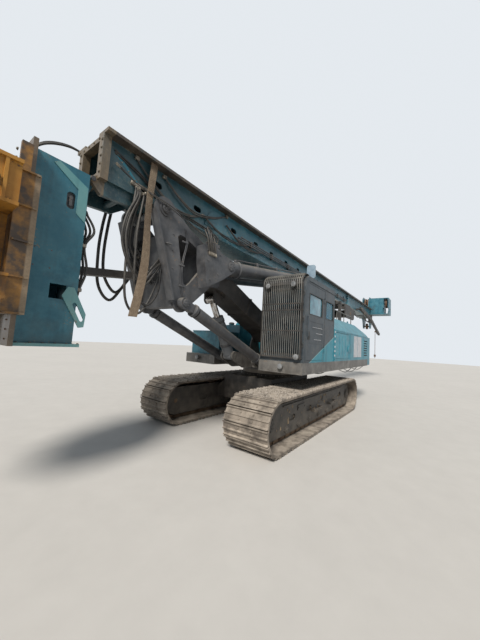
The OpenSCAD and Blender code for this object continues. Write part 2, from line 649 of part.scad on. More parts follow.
module parallel_links() color("lightslategray") both_sides()
    translate([link_root[0], link_y, link_root[1]]) rotate([0, -boom_slope, 0]) difference() {
        union() {
            for (x = [0, boom_l]) translate([x, 0, 0]) rotate([90, 0, 0]) cylinder(r = 84, h = link_eye_w, center = true);
            box([60, -link_eye_w / 2, -62], [160, link_eye_w / 2, 62]);
            box([boom_l - 300, -link_eye_w / 2, -62], [boom_l - 60, link_eye_w / 2, 62]);
            translate([130, 0, 0]) rotate([0, 90, 0]) cylinder(r = link_r, h = boom_l - 400);
        }
        for (x = [0, boom_l]) translate([x, 0, 0]) rotate([90, 0, 0])
            cylinder(r = link_pin_r + pin_gap, h = link_eye_w + 2, center = true);
    }
module lift_frame() translate([lift_root[0], 0, lift_root[1]]) rotate([0, -lift_slope, 0]) children();
module lift_barrel() color("lightslategray") lift_frame() difference() {
    union() {
        rotate([90, 0, 0]) cylinder(r = 82, h = lift_eye_w + 30, center = true);
        translate([60, 0, 0]) rotate([0, 90, 0]) cylinder(r = lift_r, h = 740);
        translate([780, 0, 0]) rotate([0, 90, 0]) cylinder(r = lift_r + 8, h = 70);
    }
    rotate([90, 0, 0]) cylinder(r = link_pin_r + pin_gap, h = 400, center = true);
    translate([150, 0, 0]) rotate([0, 90, 0]) cylinder(r = lift_rod_r + pin_gap, h = 900);
}
module lift_rod() color("silver") lift_frame() {
    translate([230, 0, 0]) rotate([0, 90, 0]) cylinder(r = lift_rod_r, h = lift_l - 290);
    translate([lift_l, 0, 0]) rotate([90, 0, 0]) cylinder(r = 72, h = lift_eye_w + 30, center = true);
}

// Outline of a side cheek: a high front band, an upper arm and a lower diagonal around an open triangle
module cheek_outline() difference() {
    union() {
        polygon([[tilt_x + 165, tilt_z - 30], [link_eye[0] + 165, link_eye[1] + 15],
            [link_eye[0], link_eye[1] - 110], [link_eye[0] - 130, link_eye[1] - 40], [2790, 2520], [2660, 2680],
            [2700, 3080], [2850, 3170], [3270, 3330], [tilt_x - 80, tilt_z + 145]]);
        translate([tilt_x, tilt_z]) circle(165);
        translate(link_eye) circle(128);
    }
    polygon([[3480, 3150], [3440, 3185], [3350, 3180], [2960, 3035], [2935, 2995], [2975, 2790], [3190, 2530],
        [3255, 2475], [3310, 2490], [3335, 2550], [3455, 3040]]);
    translate([tilt_x, tilt_z]) circle(tilt_pin_r + pin_gap);
}
module mast_support() color("lightslategray") {
    both_sides() {
        plate(cheek_y0, cheek_y1) cheek_outline();
        // flanges along the front edge and around the opening's rear
        plate(cheek_y0 - 40, cheek_y1 + 48) polygon([[tilt_x + 160, tilt_z - 60], [tilt_x + 186, tilt_z - 66],
            [link_eye[0] + 186, link_eye[1] + 20], [link_eye[0] + 160, link_eye[1] + 26]]);
        // plates that hold the boom's head and the mast cylinder's foot
        plate(inner_y0, inner_y1) union() {
            polygon([[boom_head[0] - 95, boom_head[1] - 50], [boom_head[0] + 20, boom_head[1] - 110], [2880, 2580],
                [2880, 3150], [ram_root[0] + 30, 3060], [ram_root[0] - 110, ram_root[1]]]);
            translate(boom_head) circle(108);
            translate(ram_root) circle(110);
        }
        plate(ram_box_y, ram_box_y + ram_box_t) union() {
            polygon([[3110, 3130], [2850, 3170], [2700, 3090], [ram_root[0] + 20, ram_root[1] + 112],
                [ram_root[0] - 20, ram_root[1] - 112], [2660, 2680], [3010, 2490], [3090, 2860]]);
            translate(ram_root) circle(112);
        }
        // front and bottom walls of the box around the cylinder's foot
        plate(cheek_y1 - 1, ram_box_y + 1) polygon([[3110, 3130], [3090, 2860], [3010, 2490], [2700, 2658],
            [2712, 2680], [2995, 2526], [3065, 2864], [3084, 3126]]);
        across(ram_root[0], ram_root[1], ram_pin_r, inner_y1 - 1, ram_box_y + 5);
        across(link_eye[0], link_eye[1], link_pin_r, cheek_y1 - 1, link_y + link_eye_w / 2 + 10);
        across(link_eye[0], link_eye[1], 76, cheek_y1 - 1, link_y - link_eye_w / 2 - pin_gap);
        plate(cheek_y1 - 1, cheek_y1 + 14) translate([tilt_x, tilt_z]) difference() {
            circle(100);
            circle(tilt_pin_r + pin_gap);
        }
    }
    across(boom_head[0], boom_head[1], head_pin_r, -inner_y1 + 2, inner_y1 - 2);
    // webs between the cheeks
    plate(-cheek_y0 - 1, cheek_y0 + 1) polygon([[2840, 2600], [2880, 2580], [2880, 3160], [2840, 3145]]);
    plate(-cheek_y0 - 1, cheek_y0 + 1) polygon([[2860, 2560], [link_eye[0] - 60, link_eye[1] - 60],
        [link_eye[0] + 130, link_eye[1] - 60], [3600, 3170], [3560, 3170], [link_eye[0] + 80, link_eye[1]],
        [link_eye[0] - 40, link_eye[1]], [2860, 2640]]);
    plate(-cheek_y0 - 1, cheek_y0 + 1) polygon([[2850, 3100], [3300, 3250], [3300, 3290], [2850, 3150]]);
    // ears and pin of the foot's brace
    both_sides() plate(66, 106) polygon([[3480, 2480], [brace_pin[0] + 10, brace_pin[1] - 50],
        [brace_pin[0] + 55, brace_pin[1]], [brace_pin[0] + 10, brace_pin[1] + 50], [3500, 2640]]);
    across(brace_pin[0], brace_pin[1], 25, -110, 110);
}

module ram_frame() both_sides() translate([ram_root[0], ram_y, ram_root[1]]) rotate([0, ram_slope - 180, 0]) children();
module mast_cylinder_barrels() color("lightslategray") ram_frame() difference() {
    union() {
        rotate([90, 0, 0]) cylinder(r = 125, h = 2 * ram_r - 10, center = true);
        translate([90, 0, 0]) rotate([0, 90, 0]) cylinder(r = ram_r - 8, h = ram_barrel_l - 90);
        for (x = [110, ram_barrel_l - 120]) translate([x, 0, 0]) rotate([0, 90, 0]) cylinder(r = ram_r, h = 110);
    }
    rotate([90, 0, 0]) cylinder(r = ram_pin_r + pin_gap, h = 400, center = true);
    translate([200, 0, 0]) rotate([0, 90, 0]) cylinder(r = ram_rod_r + pin_gap, h = ram_barrel_l);
}
module mast_cylinder_rods() color("silver") ram_frame() {
    translate([280, 0, 0]) rotate([0, 90, 0]) cylinder(r = ram_rod_r, h = ram_l - 340);
    translate([ram_l, 0, 0]) rotate([90, 0, 0]) cylinder(r = 110, h = 130, center = true);
}

module mast_section(x0, x1, low) {
    difference() {
        box([x0, -mast_w / 2, low], [x1, mast_w / 2, mast_high]);
        box([x0 + 30, -mast_w / 2 + mast_t, low + mast_t], [x1 + 1, mast_w / 2 - mast_t, mast_high - mast_t]);
        plate(-mast_w / 2 - 1, mast_w / 2 + 1) for (x = oval_holes) if (x > x0 + 200 && x < x1 - 200)
            translate([x, oval_z]) slot2d(80, 45);
    }
    both_sides() box([x0, mast_w / 2 - 90, mast_high], [x1, rail_w / 2, rail_high]);
}
module mast_main() color("teal") {
    mast_section(mast_splice, mast_front, mast_low);
    // frame around the open end, notched for the foot's hinge eyes
    difference() {
        box([mast_front - 90, -mast_w / 2 - 40, mast_low - 20], [mast_front, mast_w / 2 + 40, mast_high]);
        box([mast_front - 100, -mast_w / 2 + 60, mast_low + 60], [mast_front + 10, mast_w / 2 - 60, mast_high - 60]);
        both_sides() box([mast_front - 26, 100, mast_low - 21], [mast_front + 1, 176, hinge_z + 66]);
    }
    // splice flange with stiffening ribs
    box([mast_splice, -mast_w / 2 - 60, mast_low - 40], [mast_splice + 40, mast_w / 2 + 60, mast_high - 1]);
    both_sides() for (z = [mast_low + 60, mast_low + 380]) plate(mast_w / 2 - 1, mast_w / 2 + 55)
        polygon([[mast_splice + 39, z], [mast_splice + 190, z], [mast_splice + 190, z + 14], [mast_splice + 39, z + 14]]);
    // doubled plates at the front end, half round covers and lower edge strips
    both_sides() {
        plate(mast_w / 2 - 1, mast_w / 2 + 10) polygon([[mast_front - 89, mast_low], [mast_front - 89, mast_high - 60],
            [mast_front - 160, mast_high - 150], [3990, mast_low + 90], [3860, mast_low]]);
        plate(mast_w / 2 - 1, mast_w / 2 + 12) intersection() {
            translate([cover_x, mast_low + 130]) circle(cover_r);
            translate([cover_x - cover_r, mast_low + 130]) square([2 * cover_r, cover_r]);
        }
        box([mast_splice + 39, mast_w / 2 - 1, mast_low + 6], [3860, mast_w / 2 + 8, mast_low + 46]);
    }
    // eyes of the foot's hinge, with its pin and a tube between them
    both_sides() plate(180, 235) union() {
        translate([hinge_x, hinge_z]) circle(hinge_eye_r);
        polygon([[mast_front - 30, mast_low + 60], [3980, mast_low + 60], [3980, mast_low - 20], [4150, mast_low - 150],
            [mast_front - 60, mast_low - 180], [hinge_x + 10, hinge_z - hinge_eye_r + 2],
            [hinge_x - 10, hinge_z + hinge_eye_r - 1]]);
    }
    across(4240, mast_low - 80, 45, -181, 181);
    across(hinge_x, hinge_z, 30, -250, 250);
    // ears beside the cylinders' rod eyes
    both_sides() plate(mast_w / 2 - 1, ram_y - 65 - run_gap) polygon([[ram_eye[0] - 260, mast_low + 190],
        [ram_eye[0] - 110, ram_eye[1] - 100], [ram_eye[0] + 110, ram_eye[1] - 100], [ram_eye[0] + 260, mast_low + 190]]);
}
module mast_top() color("teal") {
    mast_section(mast_rear, mast_splice, top_low);
    box([mast_splice - 40, -mast_w / 2 - 60, mast_low - 40], [mast_splice, mast_w / 2 + 60, mast_high - 1]);
    both_sides() for (z = [mast_low + 80, mast_low + 380]) plate(mast_w / 2 - 1, mast_w / 2 + 55)
        polygon([[mast_splice - 39, z], [mast_splice - 190, z], [mast_splice - 190, z + 14], [mast_splice - 39, z + 14]]);
    // cross flange at the upper end
    box([mast_rear, -mast_w / 2 - 30, top_low - 30], [mast_rear + 30, mast_w / 2 + 30, mast_high - 1]);
}
module mast_pivot() color("lightslategray") {
    both_sides() plate(195, 250) difference() {
        union() {
            translate([tilt_x, tilt_z]) circle(125);
            polygon([[tilt_x - 330, mast_low], [tilt_x + 240, mast_low], [tilt_x + 118, tilt_z - 40],
                [tilt_x - 118, tilt_z - 40]]);
        }
        translate([tilt_x - 400, mast_low]) square([800, 200]);
    }
    across(tilt_x, tilt_z, tilt_pin_r, -cheek_y1 - 30, cheek_y1 + 30);
}
module mast_winch_frame() color("darkslategray") {
    both_sides() plate(400, 440) difference() {
        polygon([[-5050, mast_low], [drum_x + 30, mast_low], [drum_x + 10, mast_low - 60], [-6450, mast_low - 90],
            [-6450, mast_low - 480], [-6300, mast_low - 540], [-5200, mast_low - 540], [-5050, mast_low - 380]]);
        translate([drum_x, drum_z]) circle(50 + pin_gap);
    }
    box([-5740, -440, mast_low - 30], [-5060, 440, mast_low]);
    for (x = [-6440, -5120]) box([x, -401, mast_low - 200], [x + 40, 401, mast_low - 100]);
}
module mast_winch_drum() color("saddlebrown") drum(drum_x, drum_z, 140, 370, 445);
module mast_head() color("teal") {
    both_sides() plate(150, 190) difference() {
        polygon([[mast_rear, top_low], [mast_rear, mast_high], [mast_rear - 180, rope_z - 60],
            [mast_rear - 330, rope_z + 50], [head_rear + 290, rope_z + 50], [head_rear, rope_z - 250],
            [head_rear, mast_high - 120], [mast_rear - 760, mast_low - 500], [mast_rear - 440, mast_low - 520],
            [mast_rear - 260, mast_low - 60]]);
        translate([sheave_x, rope_z - sheave_r]) circle(50 + pin_gap);
        translate(rear_sheave_at) circle(40 + pin_gap);
        translate([mast_rear - 560, mast_low + 180]) circle(130);
    }
    box([mast_rear - 60, -189, top_low + 60], [mast_rear, 189, mast_high - 60]);
    // cage for the side rope's sheave, out to the left
    for (z = [mast_high - 210, rope_z - 50]) box([head_rear - 80, 189, z], [mast_rear - 350, side_sheave_y + 160, z + 40]);
    for (y = [side_sheave_y - 130, side_sheave_y + 120]) difference() {
        box([head_rear - 80, y, mast_high - 171], [mast_rear - 350, y + 40, rope_z - 49]);
        across(sheave_x - 60, rope_z - 320, 40 + pin_gap, y - 1, y + 41);
        for (side = [-1, 1]) box([sheave_x - 60 + side * 260 - 110, y - 1, mast_high - 60],
            [sheave_x - 60 + side * 260 + 110, y + 41, mast_high + 160]);
    }
    for (x = [head_rear - 80, mast_rear - 390]) box([x, 189, mast_high - 171], [x + 40, side_sheave_y - 129, rope_z - 49]);
}
module head_sheaves() color("gray") {
    for (y = [-70, 70]) across(sheave_x, rope_z - sheave_r, sheave_r, y - 30, y + 30);
    across(sheave_x, rope_z - sheave_r, 50, -200, 200);
}
module side_sheave() color("gray") {
    across(sheave_x - 60, rope_z - 320, side_sheave_r, side_sheave_y - 30, side_sheave_y + 60);
    across(sheave_x - 60, rope_z - 320, 40, side_sheave_y - 135, side_sheave_y + 165);
}
module rear_sheave() color("gray") {
    across(rear_sheave_at[0], rear_sheave_at[1], 170, -40, 40);
    across(rear_sheave_at[0], rear_sheave_at[1], 40, -200, 200);
}
// Folded arm beside the mast's upper end, with the side rope's hook
module rear_arm() color("darkslategray") {
    plate(440, 540) difference() {
        union() {
            polygon([[-7400, top_low + 130], [-7440, top_low], [-9900, mast_low - 220], [arm_tip + 90, mast_low - 850],
                [arm_tip, mast_low - 740], [-9900, mast_low - 80], [-7700, top_low + 150]]);
            translate([-7480, top_low + 66]) circle(80);
        }
        translate([-7480, top_low + 66]) circle(30);
    }
    box([-7600, mast_w / 2, top_low + 20], [-7480, 441, top_low + 90]);
    box([-10400, mast_w / 2, mast_low - 250], [-10300, 441, top_low + 120]);
    across(hook_pin[0], hook_pin[1], 20, hook_y - 35, 441);
}
module hook_line() color("saddlebrown") {
    translate([hook_pin[0], hook_y, hook_pin[1]]) rotate([90, 0, 0]) difference() {
        cylinder(r = 45, h = 50, center = true);
        cylinder(r = 20 + pin_gap, h = 60, center = true);
    }
    translate([hook_pin[0], hook_y, hook_low + 200]) cylinder(r = 12, h = hook_pin[1] - 40 - hook_low - 200, $fn = 16);
    translate([hook_pin[0], hook_y, hook_low + 90]) cylinder(r = 55, h = 120);
    translate([hook_pin[0], hook_y, hook_low + 50]) rotate([90, 0, 0]) rotate_extrude(angle = 280)
        translate([36, 0]) circle(14, $fn = 24);
}

module mast_foot() color("teal") {
    difference() {
        box([foot_back, -mast_w / 2, foot_low], [foot_face, mast_w / 2, foot_top]);
        box([foot_back + mast_t, -mast_w / 2 + mast_t, foot_low + 30],
            [foot_face - mast_t, mast_w / 2 - mast_t, foot_top + 1]);
        // oval hole and square window in the sides
        plate(-mast_w / 2 - 1, mast_w / 2 + 1) translate([foot_back + 160, foot_top - 370]) rotate(90) slot2d(100, 42);
        plate(-mast_w / 2 - 1, mast_w / 2 + 1) translate([foot_back + 110, foot_top - 1430]) square([150, 150]);
    }
    both_sides() {
        box([foot_face, mast_w / 2 - 90, foot_low], [rail_face, rail_w / 2, foot_top + 25]);
        // doubled plate at the upper rear corner
        plate(mast_w / 2 - 1, mast_w / 2 + 8) polygon([[foot_back + 350, foot_top - 50], [foot_back + 300, foot_top - 12],
            [foot_back + 8, foot_top - 165], [foot_back + 8, foot_top - 560], [foot_back + 103, foot_top - 490],
            [foot_back + 103, foot_top - 225]]);
        // slotted arm
        plate(mast_w / 2 - 1, mast_w / 2 + 18) difference() {
            polygon([[foot_back + 100, foot_top - 1290], [foot_back + 150, foot_top - 1390], [foot_back - 40, foot_top - 1710],
                [foot_back - 90, foot_top - 1700], [foot_back - 100, foot_top - 1560], [foot_back + 40, foot_top - 1290]]);
            translate([foot_back - 20, foot_top - 1545]) rotate(62) slot2d(170, 22);
        }
        // hinge eyes
        plate(105, 170) difference() {
            union() {
                translate([hinge_x, hinge_z]) circle(foot_eye_r);
                polygon([[hinge_x - 40, hinge_z - 45], [foot_back + 1, hinge_z - 260], [foot_back + 1, foot_top],
                    [hinge_x, foot_top]]);
            }
            translate([hinge_x, hinge_z]) circle(30 + pin_gap);
        }
    }
    // bottom flange
    box([foot_back - 50, -mast_w / 2 - 60, foot_low], [foot_face, mast_w / 2 + 60, foot_low + 30]);
}
module foot_brace() color("darkslategray") {
    translate([brace_pin[0], 0, brace_pin[1]]) rotate([0, brace_slope, 0]) plate(-60, 60) difference() {
        union() {
            polygon([[0, -45], [brace_l - 50, -45], [brace_l, -20], [brace_l, 20], [brace_l - 50, 45], [0, 45]]);
            circle(55);
        }
        circle(25 + pin_gap);
    }
}

module rotary_carriage() color("lightslategray") {
    z0 = rotary_z + 120;
    z1 = rotary_z + 1400;
    box([rail_face + run_gap, -rail_w / 2 - 60, z0], [rail_face + 90, rail_w / 2 + 60, z1]);
    both_sides() {
        box([foot_face - 40, rail_w / 2 + run_gap, z0], [rail_face + 90, rail_w / 2 + 60, z1]);
        box([foot_face - 40, mast_w / 2 + 40, z0], [foot_face - run_gap, rail_w / 2 + 60, z1]);
        // sliding pads on the rails
        for (z = [z0, z1 - 200]) box([rail_face + pin_gap, mast_w / 2 - 60, z], [rail_face + run_gap + 1, rail_w / 2 - 10, z + 200]);
        // ribs on the outside, and horns over the top
        for (z = [z0 : 316 : z1 - 10]) box([foot_face - 30, rail_w / 2 + 59, z], [rail_face + 80, rail_w / 2 + 84, z + 16]);
        box([rail_face + run_gap, rail_w / 2 + 20, z1 - 1], [rail_face + 88, rail_w / 2 + 60, z1 + 260]);
    }
}
module drive_hole() translate([axis_x, 0, drive_low - 100]) cylinder(r = drive_r + pin_gap, h = 1900, $fn = 72);
module rotary_housing() color("goldenrod") difference() {
    union() {
        // gear case with its two flanges
        translate([axis_x, 0, rotary_z + 540]) cylinder(r = 500, h = 470, $fn = 72);
        for (z = [545, 960]) translate([axis_x, 0, rotary_z + z]) cylinder(r = 550, h = 36, $fn = 72);
        // upper box with lips and ribs
        box([rail_face + 90, -590, rotary_z + 1000], [axis_x + 530, 590, rotary_z + 1400]);
        for (z = [1000, 1370]) box([rail_face + 90, -620, rotary_z + z], [axis_x + 560, 620, rotary_z + z + 30]);
        for (x = [rail_face + 180, axis_x - 150, axis_x + 200, axis_x + 480])
            box([x, -615, rotary_z + 1001], [x + 24, 615, rotary_z + 1399]);
        // lower guide box
        box([rail_face + 90, -560, rotary_z + 230], [axis_x + 400, 560, rotary_z + 440]);
        for (z = [230, 415]) box([rail_face + 90, -590, rotary_z + z], [axis_x + 430, 590, rotary_z + z + 25]);
        box([rail_face + 90, -300, rotary_z + 430], [axis_x - 380, 300, rotary_z + 1010]);
        for (y = [-300, 270]) box([rail_face + 90, y, rotary_z + 430], [axis_x - 200, y + 30, rotary_z + 1010]);
    }
    drive_hole();
}
module rotary_motors() color("gray") for (y = [-480, 480]) translate([axis_x, y, rotary_z + 1400]) {
    cylinder(r = 120, h = 30);
    cylinder(r = 100, h = 250);
    translate([0, 0, 80]) cylinder(r = 112, h = 60);
    translate([0, 0, 250]) cylinder(r = 75, h = 150);
}
module rotary_drive() color("saddlebrown") translate([axis_x, 0, drive_low]) difference() {
    union() {
        cylinder(r = drive_r, h = drive_h, $fn = 72);
        translate([0, 0, drive_stub]) cylinder(r = 430, h = 40, $fn = 72);
        translate([0, 0, drive_stub + 40]) cylinder(r = 390, h = 160, $fn = 72);
    }
    translate([0, 0, -1]) cylinder(r = drive_bore / 2, h = drive_h + 2, $fn = 72);
}

at_origin() car_body();
at_origin() slew_ring();
at_origin() track_frames();
at_origin() track_left();
at_origin() track_right();
at_origin() sprockets();
at_origin() idler_wheels();
at_origin() track_rollers();
at_origin() travel_drives();
at_origin() upper_frame();
at_origin() counterweight();
at_origin() engine_house();
at_origin() engine_block();
at_origin() exhaust_stack();
at_origin() side_tank();
at_origin() cab_shell();
at_origin() cab_windows();
at_origin() cab_guard();
at_origin() operator_seat();
at_origin() side_mirror();
at_origin() work_lamps();
at_origin() winch_frame();
at_origin() winch_drum();
at_origin() mast_rest();
at_origin() cab_door();
at_origin() house_door();
at_origin() boom();
at_origin() parallel_links();
at_origin() lift_barrel();
at_origin() lift_rod();
at_origin() mast_support();
at_origin() mast_cylinder_barrels();
at_origin() mast_cylinder_rods();
at_origin() mast_main();
at_origin() mast_top();
at_origin() mast_pivot();
at_origin() mast_winch_frame();
at_origin() mast_winch_drum();
at_origin() mast_head();
at_origin() head_sheaves();
at_origin() side_sheave();
at_origin() rear_sheave();
at_origin() rear_arm();
at_origin() hook_line();
at_origin() mast_foot();
at_origin() foot_brace();
at_origin() rotary_carriage();
at_origin() rotary_housing();
at_origin() rotary_motors();
at_origin() rotary_drive();
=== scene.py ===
import json
import math
import random

import bmesh
import bpy
from mathutils import Matrix, Vector


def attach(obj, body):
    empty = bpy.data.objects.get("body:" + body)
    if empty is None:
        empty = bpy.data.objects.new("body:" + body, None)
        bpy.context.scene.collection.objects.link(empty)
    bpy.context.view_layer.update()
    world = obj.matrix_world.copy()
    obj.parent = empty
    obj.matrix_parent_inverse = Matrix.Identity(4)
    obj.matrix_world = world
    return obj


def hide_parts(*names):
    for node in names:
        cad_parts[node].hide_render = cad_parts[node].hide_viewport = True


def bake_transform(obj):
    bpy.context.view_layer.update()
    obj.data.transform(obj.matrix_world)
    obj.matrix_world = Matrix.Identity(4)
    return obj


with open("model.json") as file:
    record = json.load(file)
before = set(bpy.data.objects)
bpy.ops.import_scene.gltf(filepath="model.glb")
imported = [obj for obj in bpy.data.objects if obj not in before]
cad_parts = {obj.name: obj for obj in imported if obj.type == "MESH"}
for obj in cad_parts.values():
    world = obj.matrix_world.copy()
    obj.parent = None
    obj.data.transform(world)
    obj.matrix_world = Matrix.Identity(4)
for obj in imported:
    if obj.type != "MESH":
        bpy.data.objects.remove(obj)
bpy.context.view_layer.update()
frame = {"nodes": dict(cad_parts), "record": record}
print("frame loaded:", len(frame["nodes"]), "nodes")

# the part's frame lies this far behind the slewing axis
slewX = 2.984

camera = {"place": (5.868, 3.387, 1.682), "yaw": 36.69, "pitch": 4.949, "roll": 3.323, "lens": 14.99}


def makeCamera():
    data = bpy.data.cameras.new("photoCamera")
    data.sensor_width = 36
    data.sensor_fit = "AUTO"
    data.lens = camera["lens"]
    data.clip_end = 300
    shown = bpy.data.objects.new("photoCamera", data)
    bpy.context.scene.collection.objects.link(shown)
    yaw = math.radians(180 + camera["yaw"])
    pitch = math.radians(camera["pitch"])
    roll = math.radians(camera["roll"])
    ahead = Vector((math.cos(yaw) * math.cos(pitch), math.sin(yaw) * math.cos(pitch), math.sin(pitch)))
    right = Vector((math.sin(yaw), -math.cos(yaw), 0))
    above = right.cross(ahead)
    right2 = right * math.cos(roll) + above * math.sin(roll)
    above2 = above * math.cos(roll) - right * math.sin(roll)
    x, y, z = camera["place"]
    turned = Matrix((right2, above2, -ahead)).transposed().to_4x4()
    shown.matrix_world = Matrix.Translation((x + slewX, y, z)) @ turned
    bpy.context.scene.camera = shown
    print("camera set")


makeCamera()


# materials: small helpers first, each adds one node and gives its output
def put(tree, kind, inputs=None, **settings):
    node = tree.nodes.new(kind)
    for key, value in settings.items():
        setattr(node, key, value)
    for key, value in (inputs or {}).items():
        if isinstance(value, bpy.types.NodeSocket):
            tree.links.new(value, node.inputs[key])
        else:
            node.inputs[key].default_value = value
    return node


def calc(tree, operation, first, second=0.0, clamp=False):
    return put(tree, "ShaderNodeMath", {0: first, 1: second}, operation=operation, use_clamp=clamp).outputs[0]


def times(tree, first, second, clamp=False):
    return calc(tree, "MULTIPLY", first, second, clamp)


def plus(tree, first, second, clamp=False):
    return calc(tree, "ADD", first, second, clamp)


def grain(tree, coords, scale, detail=4.0, rough=0.55, stretch=None):
    if stretch:
        coords = put(tree, "ShaderNodeMapping", {"Vector": coords, "Scale": stretch}).outputs[0]
    return put(tree, "ShaderNodeTexNoise", {"Vector": coords, "Scale": scale, "Detail": detail,
                                            "Roughness": rough}).outputs["Fac"]


def between(tree, value, low, high):
    return put(tree, "ShaderNodeMapRange", {"Value": value, "From Min": low, "From Max": high}).outputs[0]


def mixed(tree, amount, first, second):
    node = put(tree, "ShaderNodeMix", data_type="RGBA")
    for key, value in ((0, amount), (6, first), (7, second)):
        if isinstance(value, bpy.types.NodeSocket):
            tree.links.new(value, node.inputs[key])
        elif key == 0:
            node.inputs[key].default_value = value
        else:
            node.inputs[key].default_value = (*value[:3], 1)
    return node.outputs[2]


def startMaterial(name):
    material = bpy.data.materials.new(name)
    material.use_nodes = True
    tree = material.node_tree
    return material, tree, tree.nodes["Principled BSDF"], put(tree, "ShaderNodeTexCoord").outputs["Object"]


def addBump(tree, shader, strength, distance, height):
    bump = put(tree, "ShaderNodeBump", {"Strength": strength, "Distance": distance, "Height": height})
    tree.links.new(bump.outputs[0], shader.inputs["Normal"])


# how each finish looks: main and faded colour, dust, chips to what lies below, streaks and grease
finishes = {"teal_paint": {"main": (0.010, 0.112, 0.165), "faded": (0.040, 0.215, 0.285),
                           "under": (0.16, 0.15, 0.12), "dust": (0.40, 0.33, 0.24), "dusty": 0.42,
                           "chips": 0.50, "streaks": 0.45, "rough": 0.38},
            "grey_paint": {"main": (0.115, 0.128, 0.145), "faded": (0.19, 0.20, 0.215),
                           "under": (0.20, 0.13, 0.08), "dust": (0.38, 0.33, 0.26), "dusty": 0.40,
                           "chips": 0.42, "streaks": 0.40, "rough": 0.46},
            "dark_paint": {"main": (0.022, 0.021, 0.021), "faded": (0.055, 0.052, 0.050),
                           "under": (0.12, 0.07, 0.04), "dust": (0.26, 0.22, 0.17), "dusty": 0.36,
                           "chips": 0.40, "streaks": 0.35, "rough": 0.55},
            "yellow_paint": {"main": (0.33, 0.135, 0.014), "faded": (0.46, 0.235, 0.035),
                             "under": (0.075, 0.035, 0.018), "dust": (0.30, 0.24, 0.17), "dusty": 0.40,
                             "chips": 0.62, "streaks": 0.75, "rough": 0.50, "grime": 0.85},
            "track_steel": {"main": (0.050, 0.040, 0.032), "faded": (0.19, 0.158, 0.130),
                            "under": (0.07, 0.05, 0.038), "dust": (0.47, 0.41, 0.34), "dusty": 0.48,
                            "chips": 0.55, "streaks": 0.0, "rough": 0.72},
            "bare_steel": {"main": (0.17, 0.145, 0.12), "faded": (0.30, 0.27, 0.23),
                           "under": (0.11, 0.06, 0.035), "dust": (0.34, 0.28, 0.20), "dusty": 0.40,
                           "chips": 0.55, "streaks": 0.40, "rough": 0.52, "metal": 0.35},
            "rusty_steel": {"main": (0.095, 0.048, 0.026), "faded": (0.20, 0.115, 0.065),
                            "under": (0.045, 0.028, 0.02), "dust": (0.36, 0.28, 0.19), "dusty": 0.45,
                            "chips": 0.60, "streaks": 0.40, "rough": 0.68, "metal": 0.2}}
# where paint changes: a point and slope of the cab's line, then edges on mast, foot, carriage, guard, shoe
bands = {"cabLine": (1.06, 1.41, 0.384), "railLow": 4.008, "mastEnd": 4.466, "underEnd": -3.6,
         "footPlate": 0.272, "footRail": 5.159, "carriageSide": 0.374, "carriageRail": 5.166,
         "guardHood": 2.853, "shoeMiddle": 0.44, "shoeRib": 0.438}
# main and faded colour of the engine house and the cab's corner
houseTeal = (0.010, 0.180, 0.255), (0.030, 0.300, 0.385)


def weathered(name, finish, paint=None):
    # paint is a function that gives places of one node another colour
    material, tree, shader, coords = startMaterial(name)
    geometry = put(tree, "ShaderNodeNewGeometry")
    normal = put(tree, "ShaderNodeSeparateXYZ", {0: geometry.outputs["Normal"]})
    place = put(tree, "ShaderNodeSeparateXYZ", {0: coords})
    cloud = grain(tree, coords, 0.9, 5)
    patches = grain(tree, coords, 5.5, 7, 0.62)
    fine = grain(tree, coords, 34, 8, 0.7)
    pores = grain(tree, coords, 160, 3)
    colour = mixed(tree, between(tree, patches, 0.36, 0.68), finish["main"], finish["faded"])
    colour = mixed(tree, between(tree, cloud, 0.40, 0.72), colour, finish["main"])
    grime = times(tree, between(tree, grain(tree, coords, 2.3, 6, 0.68), 0.50, 0.66),
                  finish.get("grime", 0.35))
    colour = mixed(tree, grime, colour, (0.028, 0.020, 0.014))
    if paint:
        colour = paint(tree, colour, place, patches, fine)
    # runs of dirty water
    runs = grain(tree, coords, 1.0, 5, 0.6, stretch=(9, 9, 0.8))
    amount = times(tree, between(tree, runs, 0.52, 0.74), finish["streaks"])
    colour = mixed(tree, amount, colour, tuple(0.35 * c for c in finish["main"]))
    # chips down to rust, more of them where the larger patches are
    chips = plus(tree, fine, times(tree, patches, 0.55))
    chipped = between(tree, chips, 0.985 - 0.12 * finish["chips"], 1.01 - 0.12 * finish["chips"])
    colour = mixed(tree, times(tree, chipped, 0.85), colour, finish["under"])
    # dust lies on faces that look up, low on the machine, and thinly all over
    up = between(tree, normal.outputs[2], 0.25, 0.95)
    low = between(tree, place.outputs[2], 1.3, 0.1)
    lies = plus(tree, times(tree, up, 0.75), times(tree, low, 0.55), True)
    lies = plus(tree, lies, 0.10)
    dusty = times(tree, times(tree, lies, between(tree, patches, 0.25, 0.62)), finish["dusty"] * 1.5, True)
    colour = mixed(tree, dusty, colour, finish["dust"])
    tree.links.new(colour, shader.inputs["Base Color"])
    rough = plus(tree, finish["rough"], times(tree, dusty, 0.35))
    rough = plus(tree, rough, times(tree, calc(tree, "SUBTRACT", fine, 0.5), 0.22), True)
    tree.links.new(rough, shader.inputs["Roughness"])
    shader.inputs["Metallic"].default_value = finish.get("metal", 0.0)
    height = plus(tree, times(tree, chipped, -0.5), times(tree, pores, 0.35))
    height = plus(tree, height, times(tree, patches, 1.1))
    addBump(tree, shader, 0.32, 0.004, height)
    return material


